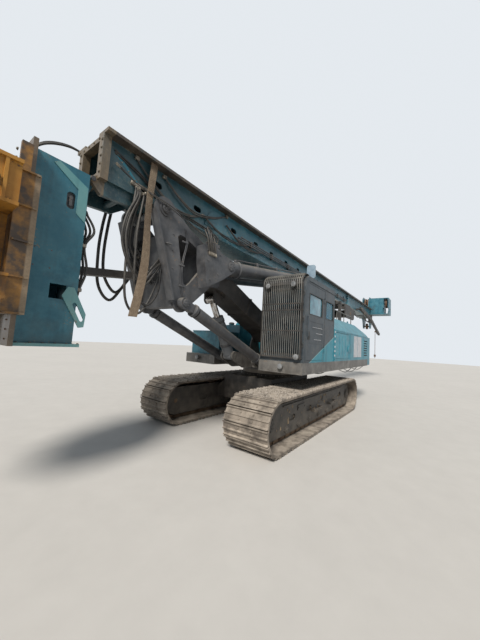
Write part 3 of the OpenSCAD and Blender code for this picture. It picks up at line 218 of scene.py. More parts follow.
def paintCab(tree, colour, place, patches, fine):
    # teal corner below a sloping line on the outer side, as on the engine house
    x, z, slope = bands["cabLine"]
    line = times(tree, place.outputs[0], slope)
    over = plus(tree, calc(tree, "SUBTRACT", place.outputs[2], z + (x + slewX) * slope), line)
    side = between(tree, place.outputs[1], 1.30, 1.32)
    corner = times(tree, between(tree, over, 0.004, -0.004), side)
    colour = mixed(tree, corner, colour, mixed(tree, patches, *houseTeal))
    edge = times(tree, between(tree, over, 0.006, 0.004), between(tree, over, -0.014, -0.010))
    return mixed(tree, times(tree, times(tree, edge, side), 0.7), colour, (0.24, 0.46, 0.48))


def paintMast(tree, colour, place, patches, fine):
    # pale worn patches low on the walls, greased rails, sandy end frame, and painted shade on the side walls
    # towards the front end, below the rail
    worn = times(tree, between(tree, place.outputs[2], 3.80, 3.55), between(tree, fine, 0.50, 0.60))
    colour = mixed(tree, times(tree, worn, 0.7), colour, (0.26, 0.33, 0.33))
    colour = mixed(tree, between(tree, place.outputs[2], bands["railLow"], bands["railLow"] + 0.004),
                   colour, mixed(tree, patches, (0.018, 0.014, 0.011), (0.085, 0.065, 0.048)))
    end = between(tree, place.outputs[0], bands["mastEnd"] + slewX, bands["mastEnd"] + slewX + 0.004)
    colour = mixed(tree, end, colour, mixed(tree, fine, (0.055, 0.042, 0.030), (0.235, 0.180, 0.115)))
    # painted shade: the side walls darken towards the front end, below the rail and not on the end frame
    shade = times(tree, between(tree, place.outputs[0], 2.0 + slewX, 3.6 + slewX),
                  calc(tree, "SUBTRACT", 1.0, between(tree, place.outputs[2], 4.000, 4.012)))
    shade = times(tree, shade, calc(tree, "SUBTRACT", 1.0, end))
    colour = mixed(tree, times(tree, shade, 0.70), colour, (0.008, 0.030, 0.036))
    front = bands["underEnd"] + slewX
    below = times(tree, between(tree, place.outputs[0], front, front - 0.3),
                  between(tree, place.outputs[2], 3.56, 3.52))
    return mixed(tree, below, colour, (0.30, 0.25, 0.18))


def paintFoot(tree, colour, place, patches, fine):
    # paler doubled plates, painted lighter as a highlight where the sun falls on the sides (painted
    # highlight); brown greased rails
    outer = calc(tree, "ABSOLUTE", place.outputs[1])
    pale = between(tree, outer, bands["footPlate"] - 0.0005, bands["footPlate"] + 0.0005)
    colour = mixed(tree, pale, colour, mixed(tree, patches, (0.06, 0.24, 0.27), (0.19, 0.37, 0.37)))
    rail = bands["footRail"] + slewX
    rails = between(tree, place.outputs[0], rail - 0.001, rail + 0.001)
    return mixed(tree, rails, colour, mixed(tree, fine, (0.05, 0.035, 0.024), (0.22, 0.17, 0.12)))


def paintCarriage(tree, colour, place, patches, fine):
    # patches of yellow and black on the sides, a rubbed sandy edge along the rails
    side = bands["carriageSide"]
    outer = between(tree, calc(tree, "ABSOLUTE", place.outputs[1]), side - 0.002, side + 0.002)
    colour = mixed(tree, outer, colour, mixed(tree, between(tree, patches, 0.42, 0.62),
                                              (0.050, 0.032, 0.020), (0.31, 0.145, 0.022)))
    rail = bands["carriageRail"] + slewX
    edge = between(tree, place.outputs[0], rail + 0.006, rail - 0.006)
    return mixed(tree, edge, colour, mixed(tree, fine, (0.09, 0.062, 0.040), (0.42, 0.32, 0.21)))


def paintGuard(tree, colour, place, patches, fine):
    # painted shade: the hood's solid plate is painted dark behind its bars, for the shade seen between them
    hood = between(tree, place.outputs[2], bands["guardHood"] - 0.003, bands["guardHood"] + 0.003)
    return mixed(tree, hood, colour, (0.016, 0.016, 0.017))


def paintShoes(tree, colour, place, patches, fine):
    # ribs rubbed to bare pale steel by the ground; the pale also stands as a painted highlight on the ribs
    out = calc(tree, "ABSOLUTE", calc(tree, "SUBTRACT", place.outputs[2], bands["shoeMiddle"]))
    rib = bands["shoeRib"]
    worn = times(tree, between(tree, out, rib - 0.033, rib), between(tree, fine, 0.44, 0.56))
    return mixed(tree, times(tree, worn, 0.75), colour, (0.56, 0.51, 0.45))


def chromeRod():
    material, tree, shader, coords = startMaterial("chromeRod")
    film = grain(tree, coords, 3.2, 6, 0.6, stretch=(1, 6, 6))
    lines = grain(tree, coords, 60, 3, 0.5, stretch=(1, 9, 9))
    colour = mixed(tree, between(tree, film, 0.38, 0.66), (0.62, 0.62, 0.62), (0.22, 0.17, 0.12))
    tree.links.new(colour, shader.inputs["Base Color"])
    shader.inputs["Metallic"].default_value = 0.9
    tree.links.new(plus(tree, times(tree, film, 0.35), 0.06), shader.inputs["Roughness"])
    addBump(tree, shader, 0.1, 0.001, lines)
    return material


def windowGlass():
    material, tree, shader, coords = startMaterial("windowGlass")
    film = grain(tree, coords, 4.5, 6, 0.65)
    # tinted glass whose blue is the sky seen in it, painted in as a reflection
    colour = mixed(tree, between(tree, film, 0.45, 0.75), (0.080, 0.330, 0.470), (0.20, 0.40, 0.46))
    place = put(tree, "ShaderNodeSeparateXYZ", {0: coords})
    # painted shade: the panes at the cab's front are painted dark
    front = between(tree, place.outputs[0], 1.30 + slewX, 1.34 + slewX)
    colour = mixed(tree, times(tree, front, 0.85), colour, (0.020, 0.032, 0.040))
    tree.links.new(colour, shader.inputs["Base Color"])
    tree.links.new(times(tree, between(tree, film, 0.42, 0.85), 0.35), shader.inputs["Roughness"])
    shader.inputs["Transmission Weight"].default_value = 0.72
    shader.inputs["Metallic"].default_value = 0.08
    shader.inputs["IOR"].default_value = 1.15
    shader.inputs["Specular IOR Level"].default_value = 0.9
    return material


def plainSurface(name, first, second, rough, scale=30.0, bump=0.25, metal=0.0, weave=None, coat=0.0):
    # rubber, cloth, rope and plastic: two tones of grain, or a weave of two crossed waves
    material, tree, shader, coords = startMaterial(name)
    spots = grain(tree, coords, scale, 6, 0.6)
    wide = grain(tree, coords, scale / 9, 4, 0.6)
    tone = plus(tree, times(tree, spots, 0.5), times(tree, wide, 0.5))
    height = spots
    if weave:
        waves = [put(tree, "ShaderNodeTexWave", {"Vector": coords, "Scale": weave, "Distortion": 1.2,
                                                 "Detail": 2.0}, bands_direction=way).outputs["Fac"]
                 for way in ("X", "Z")]
        height = times(tree, waves[0], waves[1])
        tone = plus(tree, times(tree, tone, 0.75), times(tree, height, 0.3))
    colour = mixed(tree, between(tree, tone, 0.38, 0.64), first, second)
    tree.links.new(colour, shader.inputs["Base Color"])
    tree.links.new(plus(tree, times(tree, spots, 0.2), rough - 0.1, True), shader.inputs["Roughness"])
    shader.inputs["Metallic"].default_value = metal
    shader.inputs["Coat Weight"].default_value = coat
    addBump(tree, shader, bump, 0.002, height)
    return material


looks = {slot: weathered(slot, finish) for slot, finish in finishes.items()}
# departures from a common finish: name, finish, what paints places of it, what differs
variants = {"cab": ("cabPaint", "grey_paint", paintCab,
                    {"main": (0.022, 0.035, 0.047), "faded": (0.052, 0.070, 0.084), "dusty": 0.26}),
            "deck": ("deckPaint", "grey_paint", None,
                     {"main": (0.075, 0.072, 0.068), "faded": (0.20, 0.195, 0.185)}),
            "house": ("housePaint", "teal_paint", None, {"main": houseTeal[0], "faded": houseTeal[1],
                                                         "dusty": 0.17}),
            "mast": ("mastPaint", "teal_paint", paintMast, {"streaks": 0.6}),
            "foot": ("footPaint", "teal_paint", paintFoot, {}),
            "shoes": ("shoeSteel", "track_steel", paintShoes, {}),
            "darkGrey": ("darkGrey", "grey_paint", None,
                         {"main": (0.042, 0.047, 0.056), "faded": (0.105, 0.110, 0.120)}),
            "guard": ("guardPaint", "grey_paint", None,
                      {"main": (0.090, 0.094, 0.092), "faded": (0.25, 0.25, 0.235)}),
            "guardNode": ("guardNode", "dark_paint", paintGuard, {"dusty": 0.5}),
            "carriage": ("carriagePaint", "grey_paint", paintCarriage,
                         {"main": (0.070, 0.052, 0.038), "faded": (0.185, 0.150, 0.115)})}
for look, (name, base, paint, changes) in variants.items():
    looks[look] = weathered(name, {**finishes[base], **changes}, paint)
# surfaces without wear: name, two tones, roughness, size and height of the grain, what else differs
plains = {
    # the door pane is tinted glass with the blue of the sky seen in it painted in (painted reflection)
    "doorGlass": ("doorGlass", (0.026, 0.110, 0.165), (0.120, 0.370, 0.470), 0.12, 6, 0.05, {"coat": 0.8}),
    "mirrorBack": ("mirrorBack", (0.17, 0.25, 0.33), (0.30, 0.40, 0.48), 0.3, 12, 0.1, {"coat": 0.4}),
    "lampBody": ("lampBody", (0.06, 0.06, 0.06), (0.20, 0.20, 0.19), 0.5, 30, 0.2, {}),
    "seat_cloth": ("seatCloth", (0.012, 0.013, 0.016), (0.05, 0.052, 0.06), 0.85, 40, 0.5, {"weave": 70}),
    "black_rubber": ("blackRubber", (0.008, 0.008, 0.008), (0.04, 0.037, 0.032), 0.58, 24, 0.3, {}),
    "hose": ("hoseRubber", (0.010, 0.010, 0.011), (0.075, 0.068, 0.058), 0.55, 18, 0.3, {}),
    "wireRope": ("wireRope", (0.035, 0.03, 0.026), (0.15, 0.13, 0.11), 0.5, 140, 0.8, {"metal": 0.5}),
    "webbing": ("webbing", (0.14, 0.100, 0.066), (0.34, 0.27, 0.195), 0.9, 26, 0.8, {"weave": 120}),
    "mud": ("driedMud", (0.19, 0.135, 0.085), (0.36, 0.28, 0.19), 0.95, 30, 0.8, {}),
    "plate": ("blankPlate", (0.40, 0.41, 0.44), (0.62, 0.63, 0.66), 0.5, 9, 0.15, {}),
    "lens": ("lampLens", (0.10, 0.105, 0.11), (0.30, 0.31, 0.32), 0.2, 20, 0.1, {"coat": 0.6}),
    "redLens": ("redLens", (0.20, 0.006, 0.006), (0.38, 0.02, 0.015), 0.25, 20, 0.1, {"coat": 0.6}),
    "zinc": ("zincBolt", (0.13, 0.11, 0.085), (0.34, 0.31, 0.26), 0.5, 60, 0.3, {"metal": 0.6})}
for look, (name, first, second, rough, scale, bump, more) in plains.items():
    looks[look] = plainSurface(name, first, second, rough, scale, bump, **more)
looks["chrome_rod"] = chromeRod()
looks["clear_glass"] = windowGlass()
print("materials made:", len(looks))

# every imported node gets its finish
nodeLooks = {"cab_shell": "cab", "cab_door": "cab", "mast_main": "mast", "mast_top": "mast",
             "mast_foot": "foot", "track_left": "shoes", "track_right": "shoes", "mast_support": "darkGrey",
             "parallel_links": "darkGrey", "mast_cylinder_barrels": "darkGrey", "cab_guard": "guardNode",
             "rotary_carriage": "carriage", "upper_frame": "deck", "engine_house": "house",
             "house_door": "house", "counterweight": "house", "side_mirror": "mirrorBack",
             "work_lamps": "lampBody"}
for row in frame["record"]["subparts"]:
    shown = frame["nodes"][row["node"]]
    shown.data.materials.clear()
    shown.data.materials.append(looks[nodeLooks.get(row["node"], row["material_slot"])])
print("nodes painted")


# shapes: each helper adds a form to an open mesh, in metres about the slewing axis
def spot(x, y, z):
    return Vector((x + slewX, y, z))


def placed(point):
    # the helpers take a place as three plain numbers or as a vector that is there already
    return point if isinstance(point, Vector) else spot(*point)


def finishPiece(mesh, name, look, body, blendTo=None, smooth=40, replaces=None):
    bmesh.ops.remove_doubles(mesh, verts=mesh.verts, dist=0.00005)
    bmesh.ops.recalc_face_normals(mesh, faces=mesh.faces)
    data = bpy.data.meshes.new(name)
    mesh.to_mesh(data)
    mesh.free()
    data.polygons.foreach_set("use_smooth", [True] * len(data.polygons))
    data.set_sharp_from_angle(angle=math.radians(smooth))
    data.materials.append(looks[look])
    piece = bpy.data.objects.new(name, data)
    bpy.context.scene.collection.objects.link(piece)
    if blendTo:
        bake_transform(piece)
    else:
        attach(piece, body)
    if replaces:
        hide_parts(*replaces)
    return piece


def addLoft(mesh, rings):
    # joins rings of points to one skin, closed at both ends
    rows = [[mesh.verts.new(p) for p in ring] for ring in rings]
    count = len(rows[0])
    for low, high in zip(rows, rows[1:]):
        for i in range(count):
            mesh.faces.new((low[i], low[(i + 1) % count], high[(i + 1) % count], high[i]))
    mesh.faces.new(list(reversed(rows[0])))
    mesh.faces.new(rows[-1])


def across(direction):
    # two directions square to one
    helper = Vector((0, 0, 1)) if abs(direction.z) < 0.9 else Vector((1, 0, 0))
    first = direction.cross(helper).normalized()
    return first, direction.cross(first).normalized()


def circleAt(centre, first, second, radius, sides, turn=0.0):
    return [centre + first * (radius * math.cos(turn + 2 * math.pi * i / sides))
            + second * (radius * math.sin(turn + 2 * math.pi * i / sides)) for i in range(sides)]


def addTurned(mesh, base, direction, profile, sides=24, turn=0.0):
    # profile: pairs of height along the axis and radius
    base, direction = placed(base), Vector(direction).normalized()
    first, second = across(direction)
    rings = [circleAt(base + direction * h, first, second, max(r, 0.0002), sides, turn) for h, r in profile]
    addLoft(mesh, rings)


def addRod(mesh, start, end, radius, sides=12, edge=0.0):
    start, end = placed(start), placed(end)
    direction = end - start
    length = direction.length
    edge = min(edge, radius * 0.5, length * 0.4)
    profile = [(0, radius), (length, radius)]
    if edge:
        profile = [(0, radius - edge), (edge, radius), (length - edge, radius), (length, radius - edge)]
    addTurned(mesh, start, direction, profile, sides)


def addBlock(mesh, low, high, edge=0.003, matrix=None):
    # box with chamfered edges
    low, high = placed(low), placed(high)
    centre, half = (low + high) / 2, (high - low) / 2
    edge = min(edge, *(abs(c) * 0.45 for c in half))
    made = bmesh.ops.create_cube(mesh, size=1.0)["verts"]
    for v in made:
        v.co = Vector((v.co.x * 2 * half.x, v.co.y * 2 * half.y, v.co.z * 2 * half.z)) + centre
    edges = list({e for v in made for e in v.link_edges})
    result = bmesh.ops.bevel(mesh, geom=edges, offset=edge, segments=1, affect="EDGES")
    if matrix:
        bmesh.ops.transform(mesh, matrix=matrix,
                            verts=list({v for f in result["faces"]
                                        for v in f.verts} | {v for v in made if v.is_valid}))


def addPlate(mesh, outline, y0, y1):
    # side view outline in x and z, between two places across the machine
    addLoft(mesh, [[spot(x, y, z) for x, z in outline] for y in (y0, y1)])


def addBolt(mesh, place, direction, size=0.012, sunk=0.003):
    # washer, hexagon head with a chamfered crown
    place, direction = placed(place), Vector(direction).normalized()
    base = place - direction * sunk
    addTurned(mesh, base, direction, [(0, size * 1.25), (sunk + size * 0.25, size * 1.25)], 12)
    addTurned(mesh, base, direction, [(sunk, size), (sunk + size * 0.75, size),
                                      (sunk + size * 0.9, size * 0.78)], 6, turn=(place.x + place.z) * 9)


def boltLine(mesh, start, end, count, direction, size=0.012):
    for i in range(count):
        addBolt(mesh, placed(start).lerp(placed(end), i / (count - 1)), direction, size)


def boltRing(mesh, centre, direction, radius, count, size=0.012):
    first, second = across(Vector(direction).normalized())
    for place in circleAt(placed(centre), first, second, radius, count, 0.13):
        addBolt(mesh, place, direction, size)


def smoothPath(points, steps=8):
    # points along a round curve through the given ones
    points = [placed(point) for point in points]
    points = [points[0] * 2 - points[1], *points, points[-1] * 2 - points[-2]]
    path = []
    for i in range(1, len(points) - 2):
        a, b, c, d = points[i - 1:i + 3]
        for k in range(steps):
            t = k / steps
            path.append(0.5 * ((2 * b) + (c - a) * t + (2 * a - 5 * b + 4 * c - d) * t * t
                               + (3 * b - a - 3 * c + d) * t ** 3))
    path.append(points[-2])
    return path


def addHose(mesh, points, radius, sides=10, steps=8, ends=0.0):
    # tube along a smooth path, with a crimped fitting on each end
    path = smoothPath(points, steps)
    first, second = across((path[1] - path[0]).normalized())
    rings = []
    for i, place in enumerate(path):
        ahead = (path[min(i + 1, len(path) - 1)] - path[max(i - 1, 0)]).normalized()
        first = (first - ahead * first.dot(ahead)).normalized()
        second = ahead.cross(first).normalized()
        rings.append(circleAt(place, first, second, radius, sides))
    addLoft(mesh, rings)
    if ends:
        addFitting(mesh, path[0], path[1] - path[0], radius, ends)
        addFitting(mesh, path[-1], path[-2] - path[-1], radius, ends)


def addStaple(mesh, start, end, out, radius, inset=0.0, sides=8, steps=4):
    # rod bent to a handle, out of the surface at one end and back at the other
    start, end, out = placed(start), placed(end), Vector(out)
    along = (end - start).normalized() * inset
    addHose(mesh, [start, start + along + out, end - along + out, end], radius, sides, steps)


def addFitting(mesh, place, inward, radius, long=0.05):
    # crimped end of a hose
    inward = inward.normalized()
    addTurned(mesh, place - inward * 0.01, inward, [(0, radius * 1.1), (0.012, radius * 1.5),
                                                    (0.03, radius * 1.5), (0.034, radius * 1.2),
                                                    (long, radius * 1.25), (long + 0.004, radius)], 12)


def layHose(name, points, radius, body, firstEnd, lastEnd, blendTo=None, steps=9):
    # a hose that hangs free between two fittings is a piece of its own, with its real length
    mesh = bmesh.new()
    addHose(mesh, points, radius, 10, steps)
    path = smoothPath(points, steps)
    addFitting(firstEnd, path[0], path[1] - path[0], radius)
    addFitting(lastEnd, path[-1], path[-2] - path[-1], radius)
    length = sum((b - a).length for a, b in zip(path, path[1:]))
    piece = finishPiece(mesh, name, "hose", body, blendTo=blendTo)
    hoseLengths[name] = round(length, 3)


hoseLengths = {}


def mirrored(mesh):
    # adds the same forms on the other side of the machine
    copy = bmesh.ops.duplicate(mesh, geom=mesh.verts[:] + mesh.edges[:] + mesh.faces[:])["geom"]
    verts = [g for g in copy if isinstance(g, bmesh.types.BMVert)]
    for v in verts:
        v.co.y = -v.co.y
    bmesh.ops.reverse_faces(mesh, faces=[g for g in copy if isinstance(g, bmesh.types.BMFace)])


# undercarriage: shoe bolts, chain links, side frames, drives
tracks = {"half": 2.130, "middle": 0.44, "loop": 0.392, "shoes": 50, "gauge": 1.100, "boltY": 0.115,
          "linkY": 0.118, "plateY": 0.190}


def loopPlace(way, height):
    # place and outward direction at a length along the track's loop
    half, radius = tracks["half"], tracks["loop"]
    turn = math.pi * radius
    if way < 2 * half:
        x, angle = way - half, math.pi / 2
    elif way < 2 * half + turn:
        x, angle = half, math.pi / 2 - (way - 2 * half) / radius
    elif way < 4 * half + turn:
        x, angle = half - (way - 2 * half - turn), -math.pi / 2
    else:
        x, angle = -half, -math.pi / 2 - (way - 4 * half - turn) / radius
    out = Vector((math.cos(angle), 0, math.sin(angle)))
    return Vector((x, 0, tracks["middle"])) + out * (radius + height), out


def makeTracks():
    around = 4 * tracks["half"] + 2 * math.pi * tracks["loop"]
    pitch = around / tracks["shoes"]
    bolts, links = bmesh.new(), bmesh.new()
    for i in range(tracks["shoes"]):
        # four bolts on each shoe between its ribs, and the chain's links under it
        for share in (0.27, 0.70):
            place, out = loopPlace((i + share) * pitch, 0.022)
            for y in (-tracks["boltY"], tracks["boltY"]):
                addTurned(bolts, spot(*place) + Vector((0, tracks["gauge"] + y, 0)) - out * 0.002, out,
                          [(0, 0.021), (0.006, 0.021), (0.006, 0.016), (0.015, 0.014)], 6)
        first, out = loopPlace((i + 0.1) * pitch, -0.055)
        second = loopPlace((i + 1.1) * pitch % around, -0.055)[0]
        for y in (-tracks["linkY"], tracks["linkY"]):
            a = spot(*first) + Vector((0, tracks["gauge"] + y, 0))
            b = spot(*second) + Vector((0, tracks["gauge"] + y, 0))
            ahead = (b - a).normalized()
            side = Vector((0, 0.007, 0))
            ring = []
            for k in range(12):
                angle = math.pi / 2 + math.pi * k / 5 if k < 6 else -math.pi / 2 + math.pi * (k - 6) / 5
                centre = a if k < 6 else b
                ring.append(centre + ahead * (0.030 * math.cos(angle)) + out * (0.030 * math.sin(angle)))
            addLoft(links, [[p - side for p in ring], [p + side for p in ring]])
            addTurned(links, a - Vector((0, 0.015 if y < 0 else 0, 0)), (0, 1, 0),
                      [(0, 0.013), (0.015, 0.013)], 8)
    mirrored(bolts)
    mirrored(links)
    finishPiece(bolts, "shoeBolts", "track_steel", "undercarriage")
    finishPiece(links, "chainLinks", "rusty_steel", "undercarriage")
    # side plates: bolts round the bearing caps, roller bolts, adjuster covers and steps
    sides = bmesh.new()
    outer = tracks["gauge"] + tracks["plateY"]
    for end in (-1, 1):
        for depth, radius, count, size in ((0.020, 0.098, 8, 0.011), (0.035, 0.045, 4, 0.008)):
            boltRing(sides, (end * tracks["half"], outer + depth, tracks["middle"]), (0, 1, 0), radius,
                     count, size)
    for i in range(7):
        x = (i / 6 - 0.5) * 3.1
        addTurned(sides, (x, outer - 0.001, 0.247), (0, 1, 0),
                  [(0, 0.062), (0.010, 0.062), (0.016, 0.052), (0.016, 0.030), (0.026, 0.026)], 20)
        for dx in (-0.085, 0.085):
            addBolt(sides, (x + dx, outer, 0.247), (0, 1, 0), 0.013)
    for x in (-0.85, 0.85):
        addTurned(sides, (x, outer - 0.001, 0.660), (0, 1, 0), [(0, 0.04), (0.012, 0.04), (0.016, 0.03)], 16)
    for x in (0.95, -0.35):
        addBlock(sides, (x - 0.16, outer - 0.001, 0.50), (x + 0.16, outer + 0.012, 0.60), 0.004)
        for dx in (-0.13, 0.13):
            addBolt(sides, (x + dx, outer + 0.012, 0.55), (0, 1, 0), 0.010)
    for low, high in ((-1.05, -0.55), (-0.05, 0.45)):
        for z in (0.385, 0.415):
            addRod(sides, (low, outer + 0.075, z), (high, outer + 0.075, z), 0.011, 10, 0.002)
        for x in (low + 0.03, high - 0.03):
            addBlock(sides, (x - 0.006, outer - 0.001, 0.37), (x + 0.006, outer + 0.09, 0.43), 0.002)
    mirrored(sides)
    finishPiece(sides, "sideFrameParts", "dark_paint", "undercarriage")
    # bolts of the slewing ring and of the travel drives, drive hoses on the car body
    ring = bmesh.new()
    for i in range(44):
        angle = 2 * math.pi * i / 44
        addBolt(ring, (0.6725 * math.cos(angle), 0.6725 * math.sin(angle), 0.985),
                (math.cos(angle), math.sin(angle), 0.9), 0.012, 0.012)
    for side in (-1, 1):
        for inward, radius, count, size in ((0.55, 0.142, 14, 0.010), (0.70, 0.095, 8, 0.008)):
            boltRing(ring, (-tracks["half"], side * (outer - inward), tracks["middle"]), (0, -side, 0),
                     radius, count, size)
        for dz in (-0.05, 0.02):
            addHose(ring, [(-2.06, side * 0.60, 0.46 + dz), (-1.80, side * 0.56, 0.52 + dz),
                           (-1.30, side * 0.50, 0.60 + dz), (-0.955, side * 0.42, 0.62 + dz)],
                    0.014, 8, 8, 0.05)
    finishPiece(ring, "driveBoltsAndHoses", "zinc", "undercarriage")
    print("undercarriage made")


makeTracks()


# deck, engine house and counterweight
house = {"rear": -4.02, "front": -0.36, "half": 1.48, "doorX": (-1.65, -0.45),
         "sheet": (-3.05, -2.15, 1.47, 2.07), "seams": (-1.78, -2.55, -3.35), "railY": 1.12, "tail": -4.72}


def makeHouse():
    side = house["half"]
    trims = bmesh.new()
    # raised frame around the side door, panel seams, strip along the shoulder
    x0, x1 = house["doorX"]
    for low, high, z0, z1 in ((x0 - 0.03, x0 - 0.006, 1.43, 2.09), (x1 + 0.006, x1 + 0.03, 1.43, 2.09),
                              (x0 - 0.03, x1 + 0.03, 2.075, 2.095), (x0 - 0.03, x1 + 0.03, 1.425, 1.442)):
        addBlock(trims, (low, side - 0.002, z0), (high, side + 0.007, z1), 0.002)
    for x in house["seams"]:
        addBlock(trims, (x - 0.012, side - 0.002, 1.41), (x + 0.012, side + 0.005, 2.11), 0.002)
        addBlock(trims, (x - 0.012, -side - 0.005, 1.41), (x + 0.012, -side + 0.002, 2.11), 0.002)
    for y in (side, -side):
        addBlock(trims, (house["rear"] + 0.02, y - 0.006, 2.105), (house["front"] - 0.02, y + 0.006, 2.125),
                 0.002)
    # stiffening swages across the roof
    for x in (-0.9, -1.9, -2.9):
        addBlock(trims, (x - 0.03, -1.10, 2.478), (x + 0.03, 1.10, 2.490), 0.005)
    finishPiece(trims, "houseSeams", "house", "upper")

    doorParts = bmesh.new()
    for x in (-1.30, -1.05, -0.80):
        addBlock(doorParts, (x - 0.010, side - 0.001, 1.50), (x + 0.010, side + 0.005, 2.02), 0.002)
    addBlock(doorParts, (-1.60, side - 0.001, 1.62), (-1.52, side + 0.018, 1.74), 0.006)
    addRod(doorParts, (-1.585, side + 0.012, 1.68), (-1.535, side + 0.012, 1.68), 0.006, 8)
    for z in (1.535, 1.975):
        for x in (-0.49, -0.515):
            addBolt(doorParts, (x, side + 0.006, z + 0.01), (0, 1, 0), 0.005)
    finishPiece(doorParts, "sideDoorParts", "house", "side_door")

    hard = bmesh.new()
    # bolts along the deck's edge, hand rails on the roof
    for y in (side, -side):
        for z, count, size in ((1.23, 18, 0.008), (1.345, 12, 0.006)):
            boltLine(hard, (-3.9, y, z), (1.30, y, z), count, (0, y, 0), size)
    for way in (1, -1):
        boltLine(hard, (1.41, way * 0.64, 1.22), (1.41, way * 1.42, 1.22), 6, (1, 0, 0), 0.009)
    for y in (-house["railY"], house["railY"]):
        addHose(hard, [(x, y, z) for x, z in ((-3.2, 2.48), (-3.2, 2.70), (-3.12, 2.74), (-2.06, 2.74),
                                              (-1.0, 2.74), (-0.90, 2.70), (-0.90, 2.48))], 0.014, 10, 6)
        for x in (-2.4, -1.7):
            addRod(hard, (x, y, 2.47), (x, y, 2.74), 0.012, 10, 0.002)
        for x in (-3.2, -2.4, -1.7, -0.90):
            addTurned(hard, (x, y, 2.479), (0, 0, 1), [(0, 0.03), (0.008, 0.03), (0.012, 0.018)], 14)
    # filler cap, edges of two roof hatches and their handles
    addTurned(hard, (0.34, -1.0, 2.178), (0, 0, 1), [(0, 0.078), (0.012, 0.078), (0.02, 0.062),
                                                     (0.035, 0.06), (0.04, 0.03)], 24)
    for x, y in ((-0.7, 0.5), (-3.0, -0.5)):
        addBlock(hard, (x - 0.04, y - 0.30, 2.479), (x - 0.02, y + 0.30, 2.492), 0.003)
        addStaple(hard, (x, y - 0.05, 2.482), (x, y + 0.05, 2.482), (0, 0, 0.038), 0.006, 0.005, steps=5)
    finishPiece(hard, "deckBoltsAndRails", "deck", "upper")

    # latch plates beside the side door and on the front wall
    latches = bmesh.new()
    for z in (1.50, 1.60, 1.70, 1.82, 1.94, 2.04):
        addBlock(latches, (-0.425, side - 0.001, z), (-0.385, side + 0.010, z + 0.045), 0.004)
        addRod(latches, (-0.405, side + 0.010, z + 0.005), (-0.405, side + 0.010, z + 0.040), 0.006, 8)
    for z in (2.20, 2.30, 2.40):
        addBlock(latches, (-0.3575, -0.30 + z - 2.2, z), (-0.350, -0.22 + z - 2.2, z + 0.05), 0.003)
    finishPiece(latches, "panelLatches", "plate", "upper")
    # cables that sag below the deck's edge
    loose = bmesh.new()
    for x0, x1, y, sag in ((-0.9, -2.3, 1.41, 0.10), (-1.4, -3.3, 1.36, 0.13), (-2.1, -3.9, 1.39, 0.09),
                           (0.6, -0.5, 1.30, 0.06)):
        addHose(loose, [(x0, y, 1.188), (x0 + (x1 - x0) * 0.12, y, 1.155),
                        ((x0 + x1) / 2, y + 0.01, 1.18 - sag), (x1 + (x0 - x1) * 0.12, y, 1.15),
                        (x1, y, 1.188)], 0.009, 8, 7, 0.04)
    finishPiece(loose, "deckCables", "hose", "upper")

    # slatted blades behind the vents, rain flap and bands on the exhaust
    blades = bmesh.new()
    for i in range(7):
        z = 1.50 + i * 0.076
        for x0, x1, y, lean in ((-3.93, -3.43, side - 0.012, 1), (-3.50, -2.50, -side + 0.012, -1)):
            addLoft(blades, [[spot(x, y + lean * 0.010, z - 0.004), spot(x, y + lean * 0.012, z - 0.001),
                              spot(x, y - lean * 0.030, z + 0.034), spot(x, y - lean * 0.033, z + 0.031)]
                             for x in (x0, x1)])
    addTurned(blades, (-1.2, -0.9, 2.742), (0.25, 0, 1), [(0, 0.066), (0.006, 0.068), (0.010, 0.05)], 20)
    addBlock(blades, (-1.30, -0.93, 2.70), (-1.255, -0.87, 2.755), 0.003)
    for z in (2.50, 2.60):
        addTurned(blades, (-1.2, -0.9, z), (0, 0, 1), [(0, 0.062), (0.002, 0.068), (0.022, 0.068),
                                                       (0.024, 0.062)], 20)
    finishPiece(blades, "ventBlades", "dark_paint", "upper")

    sheet = bmesh.new()
    x0, x1, z0, z1 = house["sheet"]
    addBlock(sheet, (x0, side + 0.0005, z0), (x1, side + 0.004, z1), 0.0012)
    finishPiece(sheet, "blankSheet", "plate", "upper")
    rivets = bmesh.new()
    for x in (x0 + 0.03, (x0 + x1) / 2, x1 - 0.03):
        for z in (z0 + 0.03, z1 - 0.03):
            addTurned(rivets, (x, side + 0.003, z), (0, 1, 0),
                      [(0, 0.008), (0.003, 0.006), (0.0045, 0.001)], 10)
    # lifting eyes of the counterweight, bolt heads in its rear, tail lamps
    rear = house["tail"]
    for y in (-0.9, 0.9):
        addHose(rivets, [(-4.30, y - 0.07, 2.115), (-4.30, y - 0.07, 2.20), (-4.30, y, 2.25),
                         (-4.30, y + 0.07, 2.20), (-4.30, y + 0.07, 2.115)], 0.018, 10, 6)
    for y in (-0.35, 0.35):
        addTurned(rivets, (rear + 0.001, y, 1.62), (-1, 0, 0),
                  [(-0.02, 0.075), (0.006, 0.075), (0.006, 0.045), (0.03, 0.045), (0.036, 0.034)], 24)
    finishPiece(rivets, "rivetsAndEyes", "zinc", "upper")
    lamps = bmesh.new()
    for y in (-1.05, 1.05):
        addBlock(lamps, (rear - 0.020, y - 0.11, 1.36), (rear + 0.004, y + 0.11, 1.44), 0.006)
    finishPiece(lamps, "tailLamps", "redLens", "upper")
    # clear lenses in front of the work lamps
    lenses = bmesh.new()
    for x, y, z in ((1.440, 1.29, 2.81), (1.440, 0.76, 2.81), (1.440, 1.39, 1.50), (1.410, 1.07, 1.305),
                    (1.410, -1.07, 1.305)):
        addTurned(lenses, (x + 0.0635, y, z), (1, 0, 0), [(0, 0.046), (0.004, 0.044), (0.008, 0.030),
                                                          (0.010, 0.002)], 24)
    finishPiece(lenses, "lampLenses", "lens", "upper")
    print("house made")


makeHouse()


# cab: seals, trim, guard, mirror, controls and seat
cab = {"outer": 1.48, "inner": 0.592, "rear": -0.286, "front": 1.366, "paneLow": 2.29, "paneTop": 2.69,
       "hood": (1.241, 2.850), "bars": 20}


